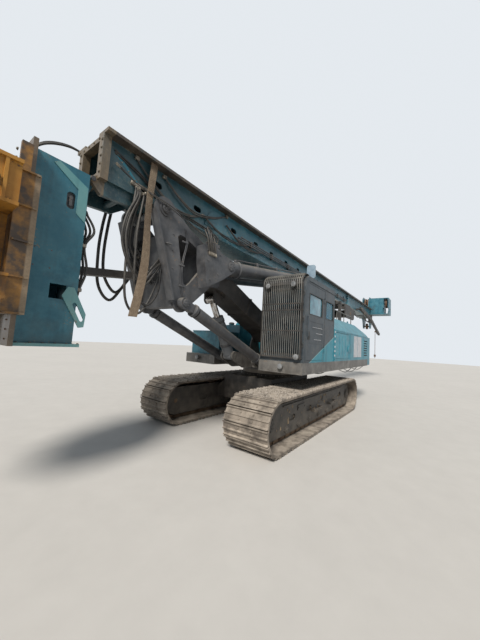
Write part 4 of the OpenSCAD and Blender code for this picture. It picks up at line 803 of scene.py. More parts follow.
def addFrameStrip(mesh, low, high, width, depth, outward):
    # rubber strip around a window between two opposite corners
    a, c, outward = placed(low), placed(high), Vector(outward)
    corners = [a, Vector((c.x, c.y, a.z)), c, Vector((a.x, a.y, c.z))]
    inner = [p + ((a + c) / 2 - p).normalized() * width for p in corners]
    for i in range(4):
        k = (i + 1) % 4
        strip = [corners[i], corners[k], inner[k], inner[i]]
        addLoft(mesh, [strip, [p + outward * depth for p in strip]])


def makeCab():
    low, top, outer = cab["paneLow"], cab["paneTop"], cab["outer"]
    seals, doorSeals = bmesh.new(), bmesh.new()
    for mesh, x0, x1 in ((seals, -0.24, 0.27), (doorSeals, 0.47, 1.18)):
        addFrameStrip(mesh, (x0, outer - 0.012, low), (x1, outer - 0.012, top), 0.028, 0.016, (0, 1, 0))
    inner, rear, front = cab["inner"], cab["rear"], cab["front"]
    addFrameStrip(seals, (-0.10, inner, 2.0), (1.14, inner, 2.84), 0.03, 0.016, (0, -1, 0))
    addFrameStrip(seals, (rear, 0.70, 2.25), (rear, 1.36, 2.84), 0.03, 0.016, (-1, 0, 0))
    addFrameStrip(seals, (front, 0.65, 1.52), (front, 1.41, 2.76), 0.03, 0.014, (1, 0, 0))
    # rubber in the door's hinge gap, wiper on the front window
    addBlock(seals, (0.349, outer - 0.044, 1.43), (0.3585, outer - 0.030, 2.87), 0.001)
    addHose(seals, [(1.385, 1.28, 1.60), (1.395, 1.20, 1.90), (1.392, 1.05, 2.20)], 0.007, 8, 6)
    addBlock(seals, (1.378, 0.93, 2.02), (1.392, 0.95, 2.52), 0.003)
    finishPiece(seals, "windowSeals", "black_rubber", "upper")
    # door handle on its plate
    addBlock(doorSeals, (1.13, outer - 0.001, 1.82), (1.21, outer + 0.010, 1.97), 0.004)
    addStaple(doorSeals, (1.14, outer + 0.004, 1.86), (1.20, outer + 0.004, 1.86), (0, 0.012, 0.015), 0.0035)
    finishPiece(doorSeals, "doorSealsAndHandle", "black_rubber", "door")
    # glass pane with round corners, clear of the door's opening by half a millimetre
    pane, paneRings = bmesh.new(), []
    for y, inset in ((-0.0238, 0.0045), (-0.0225, 0.0005), (-0.0155, 0.0005), (-0.0142, 0.0045)):
        ring = []
        for cx, cz, turn in ((1.18, top, 0), (0.47, top, 90), (0.47, low, 180), (1.18, low, 270)):
            inward = Vector((-1 if cx > 0.8 else 1, 0, -1 if cz > 2.5 else 1)) * (0.03 + inset)
            for step in range(5):
                angle = math.radians(turn + 22.5 * step)
                ring.append(spot(cx, outer + y, cz) + inward
                            + Vector((math.cos(angle), 0, math.sin(angle))) * 0.03)
        paneRings.append(ring)
    addLoft(pane, paneRings)
    finishPiece(pane, "doorPane", "doorGlass", "door")
    # pressed strips and hinge screws of the door, three thin rails on it
    panels = bmesh.new()
    for z in (1.75, 2.16):
        addBlock(panels, (0.44, outer - 0.001, z), (1.10, outer + 0.004, z + 0.022), 0.002)
    addBlock(panels, (0.44, outer - 0.001, 1.50), (0.46, outer + 0.004, 2.18), 0.002)
    for z in (1.60, 1.635, 2.62, 2.655):
        for x in (0.385, 0.405):
            addBolt(panels, (x, outer + 0.007, z), (0, 1, 0), 0.005)
    finishPiece(panels, "doorPanels", "cab", "door")
    # three thin grab rails, coloured pale as painted highlights on them
    rails = bmesh.new()
    for x0, x1, z in ((0.52, 0.98, 2.06), (0.50, 0.80, 1.95), (0.56, 0.90, 1.83)):
        addStaple(rails, (x0, outer, z), (x1, outer, z), (0, 0.014, 0), 0.0045, 0.01)
    finishPiece(rails, "doorGrabRails", "plate", "door")

    shell = bmesh.new()
    # roof gutter, post strips, bolts along the posts, a rail and bolts on the roof
    addBlock(shell, (-0.30, outer - 0.002, 2.905), (1.20, outer + 0.012, 2.925), 0.003)
    for x0, x1, z0, z1 in ((-0.305, -0.28, 1.41, 2.93), (0.30, 0.325, 1.41, 2.90),
                           (1.305, 1.33, 1.41, 2.76), (0.30, 1.36, 1.405, 1.425)):
        addBlock(shell, (x0, outer - 0.002, z0), (x1, outer + 0.004, z1), 0.002)
    boltLine(shell, (1.345, outer, 1.50), (1.345, outer, 2.70), 9, (0, 1, 0), 0.006)
    for x in (-0.22, 0.22):
        boltLine(shell, (x, outer, 2.20), (x, outer, 1.55), 4, (0, 1, 0), 0.006)
    addStaple(shell, (-0.25, 0.80, 2.999), (-0.25, 1.28, 2.999), (0, 0, 0.031), 0.010, 0.0, 10, 5)
    for y in (0.78, 1.28):
        boltLine(shell, (0.20, y, 3.0), (0.70, y, 3.0), 4, (0, 0, 1), 0.006)
    finishPiece(shell, "cabTrim", "cab", "upper")

    # bolts where the guard is held, its small side hooks and grab rings
    guard = bmesh.new()
    for z in (1.471, 1.961, 2.341, 2.461):
        for y in (0.63, 1.37):
            addBolt(guard, (1.438, y, z), (1, 0, 0), 0.008)
        addBolt(guard, (1.41, 1.448, z), (0, 1, 0), 0.008)
        addBlock(guard, (1.30, 1.447, z - 0.012), (1.40, 1.456, z + 0.012), 0.002)
    for z in (1.68, 2.15, 2.62):
        addStaple(guard, (1.405, 1.447, z), (1.405, 1.447, z + 0.06), (0, 0.028, 0), 0.006)
    finishPiece(guard, "guardBolts", "dark_paint", "upper")
    # thick bars over the guard, bent back over the hood to the roof
    bars = bmesh.new()
    hoodX, hoodZ = cab["hood"]
    for i in range(cab["bars"]):
        y = 0.64 + i * 0.78 / (cab["bars"] - 1)
        bend = [spot(hoodX + 0.197 * math.cos(a), y, hoodZ + 0.197 * math.sin(a))
                for a in (0.25, 0.6, 0.95, 1.3, math.pi / 2)]
        addHose(bars, [(1.430, y, 1.464), (1.430, y, 2.10), (1.432, y, 2.72), (1.437, y, 2.85), *bend,
                       (1.15, y, 3.047)], 0.0072, 8, 3)
    for z in (2.925, 2.995, 3.035):
        x = hoodX + math.sqrt(0.200 ** 2 - (z - hoodZ) ** 2)
        addRod(bars, (x, 0.63, z), (x, 1.43, z), 0.009, 8)
    finishPiece(bars, "guardBars", "guard", "upper")

    mirror = bmesh.new()
    addBlock(mirror, (0.8965, 1.315, 3.045), (0.8995, 1.455, 3.285), 0.001)
    finishPiece(mirror, "mirrorGlass", "chrome_rod", "upper")

    # inside: consoles with levers, dashboard, pedals with their rods
    inside = bmesh.new()
    for y in (0.66, 1.30):
        addBlock(inside, (0.00, y, 1.437), (0.55, y + 0.11, 1.98), 0.015)
        addBlock(inside, (0.10, y - 0.01, 1.985), (0.50, y + 0.12, 2.03), 0.018)
        addHose(inside, [(0.46, y + 0.055, 2.02), (0.47, y + 0.055, 2.10), (0.49, y + 0.055, 2.18)],
                0.011, 10, 4)
        addTurned(inside, (0.49, y + 0.055, 2.17), (0.1, 0, 1),
                  [(0, 0.012), (0.02, 0.024), (0.06, 0.026), (0.09, 0.014), (0.095, 0.002)], 14)
    addBlock(inside, (1.17, 0.70, 1.437), (1.26, 1.36, 1.75), 0.02)
    addBlock(inside, (1.12, 0.74, 1.752), (1.25, 1.02, 1.96), 0.02)
    for y in (0.95, 1.11):
        addBlock(inside, (0.98, y, 1.445), (1.12, y + 0.09, 1.465), 0.006)
        addRod(inside, (1.08, y + 0.045, 1.45), (1.02, y + 0.045, 1.85), 0.010, 8)
        addTurned(inside, (1.02, y + 0.045, 1.84), (-0.1, 0, 1),
                  [(0, 0.01), (0.015, 0.022), (0.04, 0.022), (0.05, 0.002)], 12)
    finishPiece(inside, "controls", "black_rubber", "upper")
    screen = bmesh.new()
    addBlock(screen, (1.112, 0.77, 1.78), (1.119, 0.99, 1.93), 0.003)
    finishPiece(screen, "screen", "clear_glass", "upper")
    print("cab made")


seat = {"place": (0.18, 1.03), "crown": 0.35, "backCrown": 0.30, "lean": 82}


def addCushion(mesh, low, high, crown, cuts=14):
    # closed crowned pad with round corners and a seam around its middle
    made = bmesh.ops.create_cube(mesh, size=2.0)["verts"]
    bmesh.ops.subdivide_edges(mesh, edges=list({e for v in made for e in v.link_edges}), cuts=cuts,
                              use_grid_fill=True)
    centre, half = (low + high) / 2, (high - low) / 2
    for v in mesh.verts:
        x, y, z = v.co
        q = v.co.lerp(v.co.normalized() * 1.25, 0.16)
        q.z += crown * (1 - x * x) * (1 - y * y) * (1 if z > 0 else 0.25) * abs(z)
        seam = math.exp(-(z / 0.10) ** 2) * max(abs(x), abs(y))
        q.x *= 1 - 0.02 * seam
        q.y *= 1 - 0.02 * seam
        v.co = Vector((q.x * half.x * 0.93, q.y * half.y * 0.93, q.z * half.z * 0.93)) + centre


def makeSeat():
    x, y = seat["place"]
    cushion, back = bmesh.new(), bmesh.new()
    addCushion(cushion, spot(x - 0.24, y - 0.235, 1.815), spot(x + 0.27, y + 0.235, 1.935), seat["crown"])
    # the back's pad is made lying and then stood up
    addCushion(back, Vector((-0.30, -0.225, -0.055)), Vector((0.30, 0.225, 0.055)), seat["backCrown"])
    lean = Matrix.Rotation(math.radians(seat["lean"]), 4, "Y")
    bmesh.ops.transform(back, matrix=Matrix.Translation(spot(x - 0.30, y, 2.26)) @ lean, verts=back.verts)
    for name, mesh in (("seatCushion", cushion), ("backCushion", back)):
        pad = finishPiece(mesh, name, "seat_cloth", "upper", smooth=70,
                          replaces=["operator_seat"])
    base = bmesh.new()
    addBlock(base, (x - 0.21, y - 0.20, 1.437), (x + 0.21, y + 0.20, 1.60), 0.02)
    for dz in (1.60, 1.65, 1.70, 1.75):
        addBlock(base, (x - 0.17, y - 0.17, dz + 0.004), (x + 0.17, y + 0.17, dz + 0.046), 0.018)
    addBlock(base, (x - 0.24, y - 0.22, 1.796), (x + 0.26, y + 0.22, 1.818), 0.006)
    addBlock(base, (x - 0.345, y - 0.04, 1.80), (x - 0.325, y + 0.04, 2.45), 0.006)
    for dy in (-0.06, 0.06):
        addRod(base, (x - 0.36, y + dy, 2.50), (x - 0.38, y + dy, 2.62), 0.007, 8)
    addBlock(base, (x - 0.42, y - 0.11, 2.60), (x - 0.34, y + 0.11, 2.74), 0.03)
    finishPiece(base, "seatBase", "black_rubber", "upper", replaces=["operator_seat"])
    print("seat made")


makeCab()
makeSeat()


# boom, links, lift cylinder and mast support
joint = {"head": (2.4795, 2.7209), "root": (0.309, 1.841), "link": (3.33, 2.20), "linkRoot": (1.16, 1.32),
         "tilt": (3.72, 3.44), "ramRoot": (2.45, 2.95), "ramEye": (-1.30, 3.53), "hinge": (4.60, 3.45),
         "liftRoot": (1.62, 1.42), "liftEye": (2.235, 2.46), "linkY": 0.478, "ramY": 0.43}


def pinCap(mesh, place, side, radius, retainer=True):
    # cover disc on a pin's end with a ring of bolts, and a keeper plate
    place, out = placed(place), Vector((0, side, 0))
    addTurned(mesh, place - out * 0.002, out, [(0, radius), (0.008, radius), (0.012, radius * 0.92),
                                               (0.012, radius * 0.35), (0.016, radius * 0.30)], 28)
    boltRing(mesh, place + out * 0.012, out, radius * 0.68, 6, radius * 0.12)
    if retainer:
        addBlock(mesh, place + Vector((-radius * 0.5, side * 0.001 - 0.001, radius * 0.92)),
                 place + Vector((radius * 0.5, side * 0.010, radius * 1.25)), 0.003)


def makeSupport():
    x0, z0 = joint["tilt"]
    # pin caps, bolts, grease pipes and lifting eyes of the mast support
    parts = bmesh.new()
    for side in (-1, 1):
        out = Vector((0, side, 0))
        pinCap(parts, (joint["ramRoot"][0], side * 0.605, joint["ramRoot"][1]), side, 0.080)
        pinCap(parts, (joint["link"][0], side * 0.536, joint["link"][1]), side, 0.060)
        # bolts round the cylinder's box and along the opening's flange
        for x, z in ((3.04, 3.06), (3.02, 2.90), (2.96, 2.62), (2.78, 2.74), (2.75, 3.06)):
            addBolt(parts, (x, side * 0.600, z), out, 0.013)
        for share in (0.15, 0.38, 0.62, 0.85):
            addBolt(parts, (3.57 - 0.06 * share, side * 0.422, 3.30 - 1.02 * share), out, 0.011)
        # grease pipes clipped to the cheek
        for shift in (0.0, 0.022):
            addHose(parts, [(3.34 + shift, side * 0.430, 3.30), (3.30 + shift, side * 0.430, 3.10),
                            (3.36 + shift, side * 0.430, 2.75), (3.34 + shift, side * 0.430, 2.42),
                            (3.30 + shift, side * 0.432, 2.30)], 0.006, 8, 6)
        for z in (3.10, 2.75, 2.45):
            addBlock(parts, (3.29 if z != 2.75 else 3.33, side * 0.430 - 0.009, z - 0.012),
                     (3.40 if z != 2.75 else 3.42, side * 0.430 + 0.009, z + 0.012), 0.003)
        # lifting eye on the front flange
        addHose(parts, [(3.60, side * 0.40 - 0.05, 2.98), (3.66, side * 0.40 - 0.045, 2.98),
                        (3.68, side * 0.40, 2.98), (3.66, side * 0.40 + 0.045, 2.98),
                        (3.60, side * 0.40 + 0.05, 2.98)], 0.012, 8, 6)
    finishPiece(parts, "supportBolts", "darkGrey", "support")

    mastPin = bmesh.new()
    for side in (-1, 1):
        pinCap(mastPin, (x0, side * 0.450, z0), side, 0.070, False)
        pinCap(mastPin, (joint["ramEye"][0], side * 0.520, joint["ramEye"][1]), side, 0.060, False)
        pinCap(mastPin, (joint["hinge"][0], side * 0.250, joint["hinge"][1]), side, 0.029, False)
    finishPiece(mastPin, "mastPinCaps", "darkGrey", "mast")

    boomParts = bmesh.new()
    slope = math.atan2(joint["head"][1] - joint["root"][1], joint["head"][0] - joint["root"][0])
    along = Vector((math.cos(slope), 0, math.sin(slope)))
    above = Vector((-math.sin(slope), 0, math.cos(slope)))
    start = spot(joint["root"][0], 0, joint["root"][1])
    # pipes along the boom's top, held by clamps
    for y in (-0.10, -0.05, 0.05, 0.10):
        path = [start + along * d + above * (0.235 if 0.3 < d < 2.0 else 0.20) + Vector((0, y, 0))
                for d in (0.22, 0.5, 1.1, 1.7, 1.95)]
        addHose(boomParts, path, 0.013, 8, 4)
    for d in (0.55, 1.05, 1.55):
        centre = start + along * d + above * 0.225
        turned = Matrix.Translation(centre) @ Matrix.Rotation(-slope, 4, "Y")
        addBlock(boomParts, Vector((-0.02, -0.13, -0.03)), Vector((0.02, 0.13, 0.03)), 0.005, turned)
    finishPiece(boomParts, "boomPipes", "dark_paint", "boom")

    linkParts = bmesh.new()
    a, b = spot(joint["linkRoot"][0], 0, joint["linkRoot"][1]), spot(joint["link"][0], 0, joint["link"][1])
    way = (b - a).normalized()
    for side in (-1, 1):
        y = Vector((0, side * joint["linkY"], 0))
        for d in (0.22, (b - a).length - 0.22):
            addTurned(linkParts, a + y + way * (d - 0.03), way,
                      [(0, 0.092), (0.008, 0.100), (0.052, 0.100), (0.06, 0.092)], 24)
        for end in (a, b):
            addTurned(linkParts, end + y + Vector((0, side * 0.052, 0)), (0, side, 0),
                      [(0, 0.050), (0.004, 0.048), (0.005, 0.02)], 20)
    finishPiece(linkParts, "linkCollars", "darkGrey", "links")

    # rings, ports and pipes on the cylinders
    for name, body, root, eye, y, radius, length in (("ramParts", "ram_barrels", joint["ramRoot"],
                                                      joint["ramEye"], joint["ramY"], 0.140, 3.0),
                                                     ("liftParts", "lift_barrel", joint["liftRoot"],
                                                      joint["liftEye"], 0.0, 0.105, 0.78)):
        mesh = bmesh.new()
        a, b = spot(root[0], 0, root[1]), spot(eye[0], 0, eye[1])
        way = (b - a).normalized()
        up = Vector((0, 1, 0)).cross(way)
        up = up if up.z > 0 else -up
        for side in ((-1, 1) if y else (1,)):
            base = a + Vector((0, side * y, 0))
            for d in (0.30 * min(1, length), length - 0.05):   # a collar at each end
                addTurned(mesh, base + way * d, way, [(0, radius * 1.01), (0.01, radius * 1.12),
                                                      (0.05, radius * 1.12), (0.06, radius * 1.01)], 28)
                boltRing(mesh, base + way * (d + 0.055), way, radius * 1.05, 10, 0.008)
            short = min(1, length)
            pipe = [base + way * d + up * (radius + h)
                    for d, h in ((0.32 * short, 0.02), (0.45 * short, 0.045), (length * 0.5, 0.045),
                                 (length - 0.15, 0.045), (length - 0.06, 0.015))]
            addHose(mesh, pipe, 0.014, 8, 5, 0.04)
            for share in (0.35, 0.62):
                centre = base + way * (length * share) + up * (radius + 0.02)
                turned = Matrix((way, Vector((0, 1, 0)), way.cross(Vector((0, 1, 0))))).transposed().to_4x4()
                addBlock(mesh, Vector((-0.025, -0.035, -0.045)), Vector((0.025, 0.035, 0.045)), 0.006,
                         Matrix.Translation(centre) @ turned)
        finishPiece(mesh, name, "darkGrey", body)
    print("support and cylinders made")


makeSupport()


# mast: bolts, rope guides, ropes, pipes and hoses along its sides
mast = {"side": 0.26, "rail": 4.052, "railY": 0.32, "front": 4.56, "splice": -5.90, "pipeY": 0.315,
        "pipeZ": (3.66, 3.70, 3.74)}


def makeMast():
    side, rail = mast["side"], mast["rail"]
    bolts = bmesh.new()
    # splice flanges, end frame, cross flange, rails
    for way in (1, -1):
        x, out = mast["splice"] + way * 0.04, Vector((way, 0, 0))
        for y in (-0.29, 0.29):
            boltLine(bolts, (x, y, 3.50), (x, y, 3.97), 6, out, 0.014)
        boltLine(bolts, (x, -0.18, 3.472), (x, 0.18, 3.472), 4, out, 0.014)
    for y in (-0.275, 0.275):
        boltLine(bolts, (mast["front"], y, 3.55), (mast["front"], y, 3.95), 5, (1, 0, 0), 0.014)
    boltLine(bolts, (mast["front"], -0.20, 3.985), (mast["front"], 0.20, 3.985), 4, (1, 0, 0), 0.012)
    for y in (-1, 1):
        out = Vector((0, y, 0))
        boltLine(bolts, (-5.7, y * mast["railY"], 4.032), (4.45, y * mast["railY"], 4.032), 34, out, 0.008)
        boltLine(bolts, (-10.6, y * mast["railY"], 4.032), (-6.1, y * mast["railY"], 4.032), 15, out, 0.008)
        boltLine(bolts, (4.40, y * (side + 0.010), 3.88), (4.02, y * (side + 0.010), 3.62), 5, out, 0.010)
        for i in range(7):
            angle = math.pi * (0.08 + 0.84 * i / 6)
            addBolt(bolts, (2.5 + 0.285 * math.cos(angle), y * (side + 0.012),
                            3.622 + 0.285 * math.sin(angle)), out, 0.009)
        # small covers under the oval holes
        for x in (-4.6, -3.2, -1.8, 0.9):
            addBlock(bolts, (x - 0.09, y * side - 0.006, 3.55), (x + 0.09, y * side + 0.006, 3.63), 0.003)
            for dx in (-0.07, 0.07):
                addBolt(bolts, (x + dx, y * (side + 0.006), 3.59), out, 0.007)
    finishPiece(bolts, "mastBolts", "zinc", "mast")
    highlightStripes = bmesh.new()
    for y in (-1, 1):
        # painted highlight: a light stripe along the doubled plate's sloping edge, where the side catches the
        # sun
        low, top = sorted((y * (side + 0.009), y * (side + 0.0135)))
        addPlate(highlightStripes, [(4.40, 3.86), (4.36, 3.90), (3.985, 3.60), (3.985, 3.56), (4.01, 3.56)], low, top)
    finishPiece(highlightStripes, "mastHighlightStripes", "house", "mast")

    # rope guides across the top
    guides = bmesh.new()
    for x in (-10.2, -8.4, -6.6, -4.2, -1.8, 0.6, 3.0):
        addBlock(guides, (x - 0.035, -0.13, rail - 0.042), (x + 0.035, 0.13, rail - 0.005), 0.006)
        for y in (-0.12, 0.12):
            addRod(guides, (x, y, rail - 0.03), (x, y, rail + 0.075), 0.012, 10, 0.003)
        addRod(guides, (x, -0.13, rail + 0.07), (x, 0.13, rail + 0.07), 0.012, 10, 0.003)
    for x in (3.2, 3.9):
        # bent guard bars over the front end's rail
        addStaple(guides, (x, 0.30, rail - 0.004), (x + 0.20, 0.30, rail - 0.004), (0, 0, 0.054),
                  0.009, steps=5)
    finishPiece(guides, "ropeGuides", "dark_paint", "mast")

    ropes = bmesh.new()
    for y in (-0.06, 0.06):
        addRod(ropes, (-10.95, y, rail + 0.032), (4.40, y, rail + 0.012), 0.011, 8)
    finishPiece(ropes, "mastRopes", "wireRope", "mast")

    # pipes along both sides with clamps
    pipes, clamps = bmesh.new(), bmesh.new()
    for way in (-1, 1):
        for k, z in enumerate(mast["pipeZ"]):
            bends = (-5.60, -3.2, -1.9, 1.2, 2.05 - 0.1 * k) if way > 0 else (-5.60, -1.2, 3.4 - 0.1 * k)
            addHose(pipes, [(x, way * mast["pipeY"], z) for x in bends], 0.0125, 8, 3, 0.04)
        for x in [-5.3 + 0.85 * i for i in range(9)]:
            if -1.75 < x < -0.85:
                continue   # the rams' eyes are here
            addBlock(clamps, (x - 0.02, way * 0.290 - 0.036, 3.635), (x + 0.02, way * 0.290 + 0.042, 3.765),
                     0.006)
            for z in (3.68, 3.72):
                addBolt(clamps, (x, way * 0.332, z), (0, way, 0), 0.008)
    finishPiece(pipes, "mastPipes", "darkGrey", "mast")
    finishPiece(clamps, "pipeClamps", "dark_paint", "mast")

    # loose hoses hung along the near side of the front half
    hoses = bmesh.new()
    sags = [((4.15, 3.98), (3.5, 3.60), (2.9, 3.72), 0.286), ((3.7, 3.96), (3.1, 3.70), (2.3, 3.97), 0.292),
            ((2.9, 3.74), (2.2, 3.57), (1.5, 3.72), 0.300), ((2.3, 3.80), (1.7, 3.60), (1.0, 3.70), 0.304)]
    for (xa, za), (xb, zb), (xc, zc), y in sags:
        for k in range(2):
            addHose(hoses, [(xa, y, za), ((xa + xb) / 2, y + 0.02, (za + zb) / 2 - 0.05 - 0.02 * k),
                            (xb, y + 0.02, zb - 0.03 * k),
                            ((xb + xc) / 2, y + 0.02, (zb + zc) / 2 - 0.05 - 0.02 * k), (xc, y, zc)],
                    0.011, 8, 6, 0.04)
    for k, z in enumerate((3.53, 3.56)):
        addHose(hoses, [(4.40, 0.275, z + 0.35), (4.0, 0.283, z + 0.22), (3.72, 0.285, z + 0.04),
                        (3.2, 0.283, z + 0.02), (2.75, 0.280, z)], 0.010, 8, 8, 0.04)
    finishPiece(hoses, "sideHoses", "hose", "mast")
    clips = bmesh.new()
    for x, y, z in ((4.12, 0.27, 3.985), (3.69, 0.27, 3.965), (2.9, 0.27, 3.735), (2.30, 0.27, 3.975),
                    (1.5, 0.27, 3.72)):
        addBlock(clips, (x - 0.03, y - 0.012, z - 0.03), (x + 0.03, y + 0.035, z + 0.02), 0.005)
        addBolt(clips, (x, y + 0.035, z), (0, 1, 0), 0.008)
    finishPiece(clips, "hoseClips", "zinc", "mast")
    print("mast dressed")


makeMast()


# foot, rotary carriage and drive
rotary = {"x": 5.912, "z": 1.700, "face": 5.202, "boltRing": 0.527, "motorY": 0.48}
foot = {"rungs": (1.80, 2.05, 2.30, 2.75, 3.00), "hoseY": (0.10, 0.16, 0.215), "railY": 0.29, "screws": 22}


def makeFoot():
    # bolts along the rails and round the blank plates
    parts = bmesh.new()
    for side in (-1, 1):
        out = Vector((0, side, 0))
        boltLine(parts, (5.13, side * 0.26, 1.62), (5.13, side * 0.26, 3.38), 18, out, 0.011)
        boltLine(parts, (4.60, side * 0.30, 1.57), (5.12, side * 0.30, 1.57), 6, (0, 0, 1), 0.012)
        boltLine(parts, (4.665, side * 0.268, 3.26), (4.665, side * 0.268, 2.94), 4, out, 0.009)
        addBlock(parts, (4.90, side * 0.26 - 0.006, 2.30), (5.08, side * 0.26 + 0.006, 2.52), 0.003)
        for dx, dz in ((-0.07, -0.09), (0.07, -0.09), (-0.07, 0.09), (0.07, 0.09)):
            addBolt(parts, (4.99 + dx, side * 0.266, 2.41 + dz), out, 0.008)
    # ladder rungs up the rear wall
    for z in foot["rungs"]:
        addStaple(parts, (4.644, -0.14, z), (4.644, 0.14, z), (-0.044, 0, 0), 0.010)
    # links to the locking pins near the hinge
    for side in (-1, 1):
        addBlock(parts, (4.70, side * 0.225 - 0.012, 2.93), (4.90, side * 0.225 + 0.012, 3.24), 0.004)
        addRod(parts, (4.80, side * 0.225, 3.12), (4.80, side * 0.262, 3.12), 0.020, 14, 0.004)
        addBlock(parts, (4.785, side * 0.255 - 0.004, 3.03), (4.815, side * 0.255 + 0.004, 3.13), 0.003)
    finishPiece(parts, "footBolts", "darkGrey", "foot")
    pins = bmesh.new()
    for y in (foot["railY"], -foot["railY"]):
        boltLine(pins, (5.203, y, 1.60), (5.203, y, 3.40), foot["screws"], (1, 0, 0), 0.007)
    finishPiece(pins, "railScrews", "rusty_steel", "foot")
    # hoses down the rear of the foot with clips
    hoses, clips = bmesh.new(), bmesh.new()
    for k, y in enumerate(foot["hoseY"]):
        addHose(hoses, [(4.632, y, 3.05), (4.56 - 0.02 * k, y + 0.01, 2.86), (4.60, y, 2.66),
                        (4.58 - 0.015 * k, y - 0.01, 2.40), (4.61, y, 2.16), (4.635, y, 1.98)],
                0.014, 8, 8, 0.05)
    for z in (2.66, 2.16):
        addBlock(clips, (4.59, 0.07, z - 0.02), (4.645, 0.245, z + 0.02), 0.005)
    finishPiece(hoses, "footHoses", "hose", "foot")
    finishPiece(clips, "footClips", "zinc", "foot")
    print("foot dressed")


def makeRotary():
    x, z = rotary["x"], rotary["z"]
    parts = bmesh.new()
    # bolt rings of the gear case, bolts on the box lips, ribs round the case
    for dz, out in ((0.581, 1), (0.545, -1)):
        centre = spot(x, 0, z + dz)
        for i in range(30):
            angle = 2 * math.pi * (i + 0.5) / 30
            at = centre + Vector((math.cos(angle), math.sin(angle), 0)) * rotary["boltRing"]
            if at.x > rotary["face"] + slewX + 0.12:
                addBolt(parts, at, (0, 0, out), 0.014)
    for side in (-1, 1):
        for dz in (1.03, 1.37):   # two very small screws on each side of the box
            addBolt(parts, (5.38, side * 0.601, z + dz), (0, side, 0), 0.001)
        boltLine(parts, (5.36, side * 0.605, z + 1.03), (6.43, side * 0.605, z + 1.03), 10, (0, 0, 1), 0.011)
        boltLine(parts, (5.34, side * 0.575, z + 0.255), (6.28, side * 0.575, z + 0.255), 9, (0, 0, 1), 0.011)
    for i in range(14):
        angle = math.radians(-100 + 200 * i / 13)
        at = Vector((math.cos(angle), math.sin(angle), 0))
        base = spot(x, 0, z + 0.581)
        first = base + at * 0.498
        last = base + at * 0.545
        tangent = Vector((-at.y, at.x, 0)) * 0.008
        up = Vector((0, 0, 1))
        addLoft(parts, [[first - tangent, last - tangent, first - tangent + up * 0.10],
                        [first + tangent, last + tangent, first + tangent + up * 0.10]])
    finishPiece(parts, "caseBolts", "yellow_paint", "carriage")

    metal = bmesh.new()
    for y in (-rotary["motorY"], rotary["motorY"]):
        for dz, radius, size in ((1.430, 0.110, 0.010), (1.650, 0.088, 0.009)):
            boltRing(metal, (x, y, z + dz), (0, 0, 1), radius, 8, size)
        for dz in (1.70, 1.76):
            addTurned(metal, (x + 0.06, y, z + dz), (1, 0, 0),
                      [(0, 0.022), (0.04, 0.022), (0.045, 0.016), (0.07, 0.016)], 14)
        addBlock(metal, (x - 0.06, y - 0.05, z + 1.79), (x + 0.03, y + 0.05, z + 1.84), 0.008)
    # grease fittings and gauge on the upper box
    for y in (-0.25, 0.0, 0.25):
        addTurned(metal, (6.442, y, z + 1.18), (1, 0, 0), [(0, 0.03), (0.012, 0.03), (0.014, 0.018),
                                                           (0.03, 0.016)], 16)
    for side in (-1, 1):
        boltLine(metal, (5.185, side * 0.382, z + 0.20), (5.185, side * 0.382, z + 1.34), 7,
                 (0, side, 0), 0.013)
        boltLine(metal, (5.293, side * 0.34, z + 1.45), (5.293, side * 0.34, z + 1.62), 3, (1, 0, 0), 0.012)
    finishPiece(metal, "motorFittings", "zinc", "carriage")

    hoses = bmesh.new()
    for side in (-1, 1):
        for k in range(3):
            startX, startZ = (x - 0.02, z + 1.815) if k == 2 else (x + 0.10, z + 1.70 + 0.06 * k)
            layHose(f"motorHose_{k + 1 if side < 0 else k + 4}",
                    [(startX, side * rotary["motorY"], startZ),
                     (x + 0.18 - 0.14 * k, side * (0.44 - 0.03 * k), z + 1.93 + 0.015 * k),
                     (x - 0.20, side * (0.34 - 0.05 * k), z + 1.95 + 0.02 * k),
                     (x - 0.42, side * (0.25 - 0.04 * k), z + 1.72),
                     (x - 0.50, side * (0.24 - 0.04 * k), z + 1.42)], 0.017, "carriage", hoses,
                    hoses, steps=8)
        addHose(hoses, [(6.30, side * 0.60, z + 1.30), (6.34, side * 0.655, z + 1.16),
                        (6.20, side * 0.650, z + 0.80), (6.05, side * 0.640, z + 0.52),
                        (5.98, side * 0.585, z + 0.44)], 0.012, 8, 8, 0.05)
        addHose(hoses, [(5.44, side * 0.60, z + 1.20), (5.44, side * 0.645, z + 1.05),
                        (5.50, side * 0.640, z + 0.72), (5.46, side * 0.630, z + 0.50),
                        (5.44, side * 0.585, z + 0.42)], 0.012, 8, 8, 0.05)
    finishPiece(hoses, "rotaryHoses", "hose", "carriage")
    # bolts on the turning drive
    drive = bmesh.new()
    for i in range(20):
        angle = 2 * math.pi * i / 20
        at = Vector((math.cos(angle), math.sin(angle), 0))
        addBolt(drive, spot(x, 0, z) + at * 0.410, (0, 0, 1), 0.012, 0.004)
    finishPiece(drive, "driveBolts", "rusty_steel", "drive")
    print("rotary dressed")


makeFoot()
makeRotary()


# sling strap, hoses that cross a joint, ropes and the mast's head
strap = {"x": 3.90, "lean": 0.10, "width": 0.100, "thick": 0.006, "top": 4.052, "inner": 0.05, "end": 1.92}


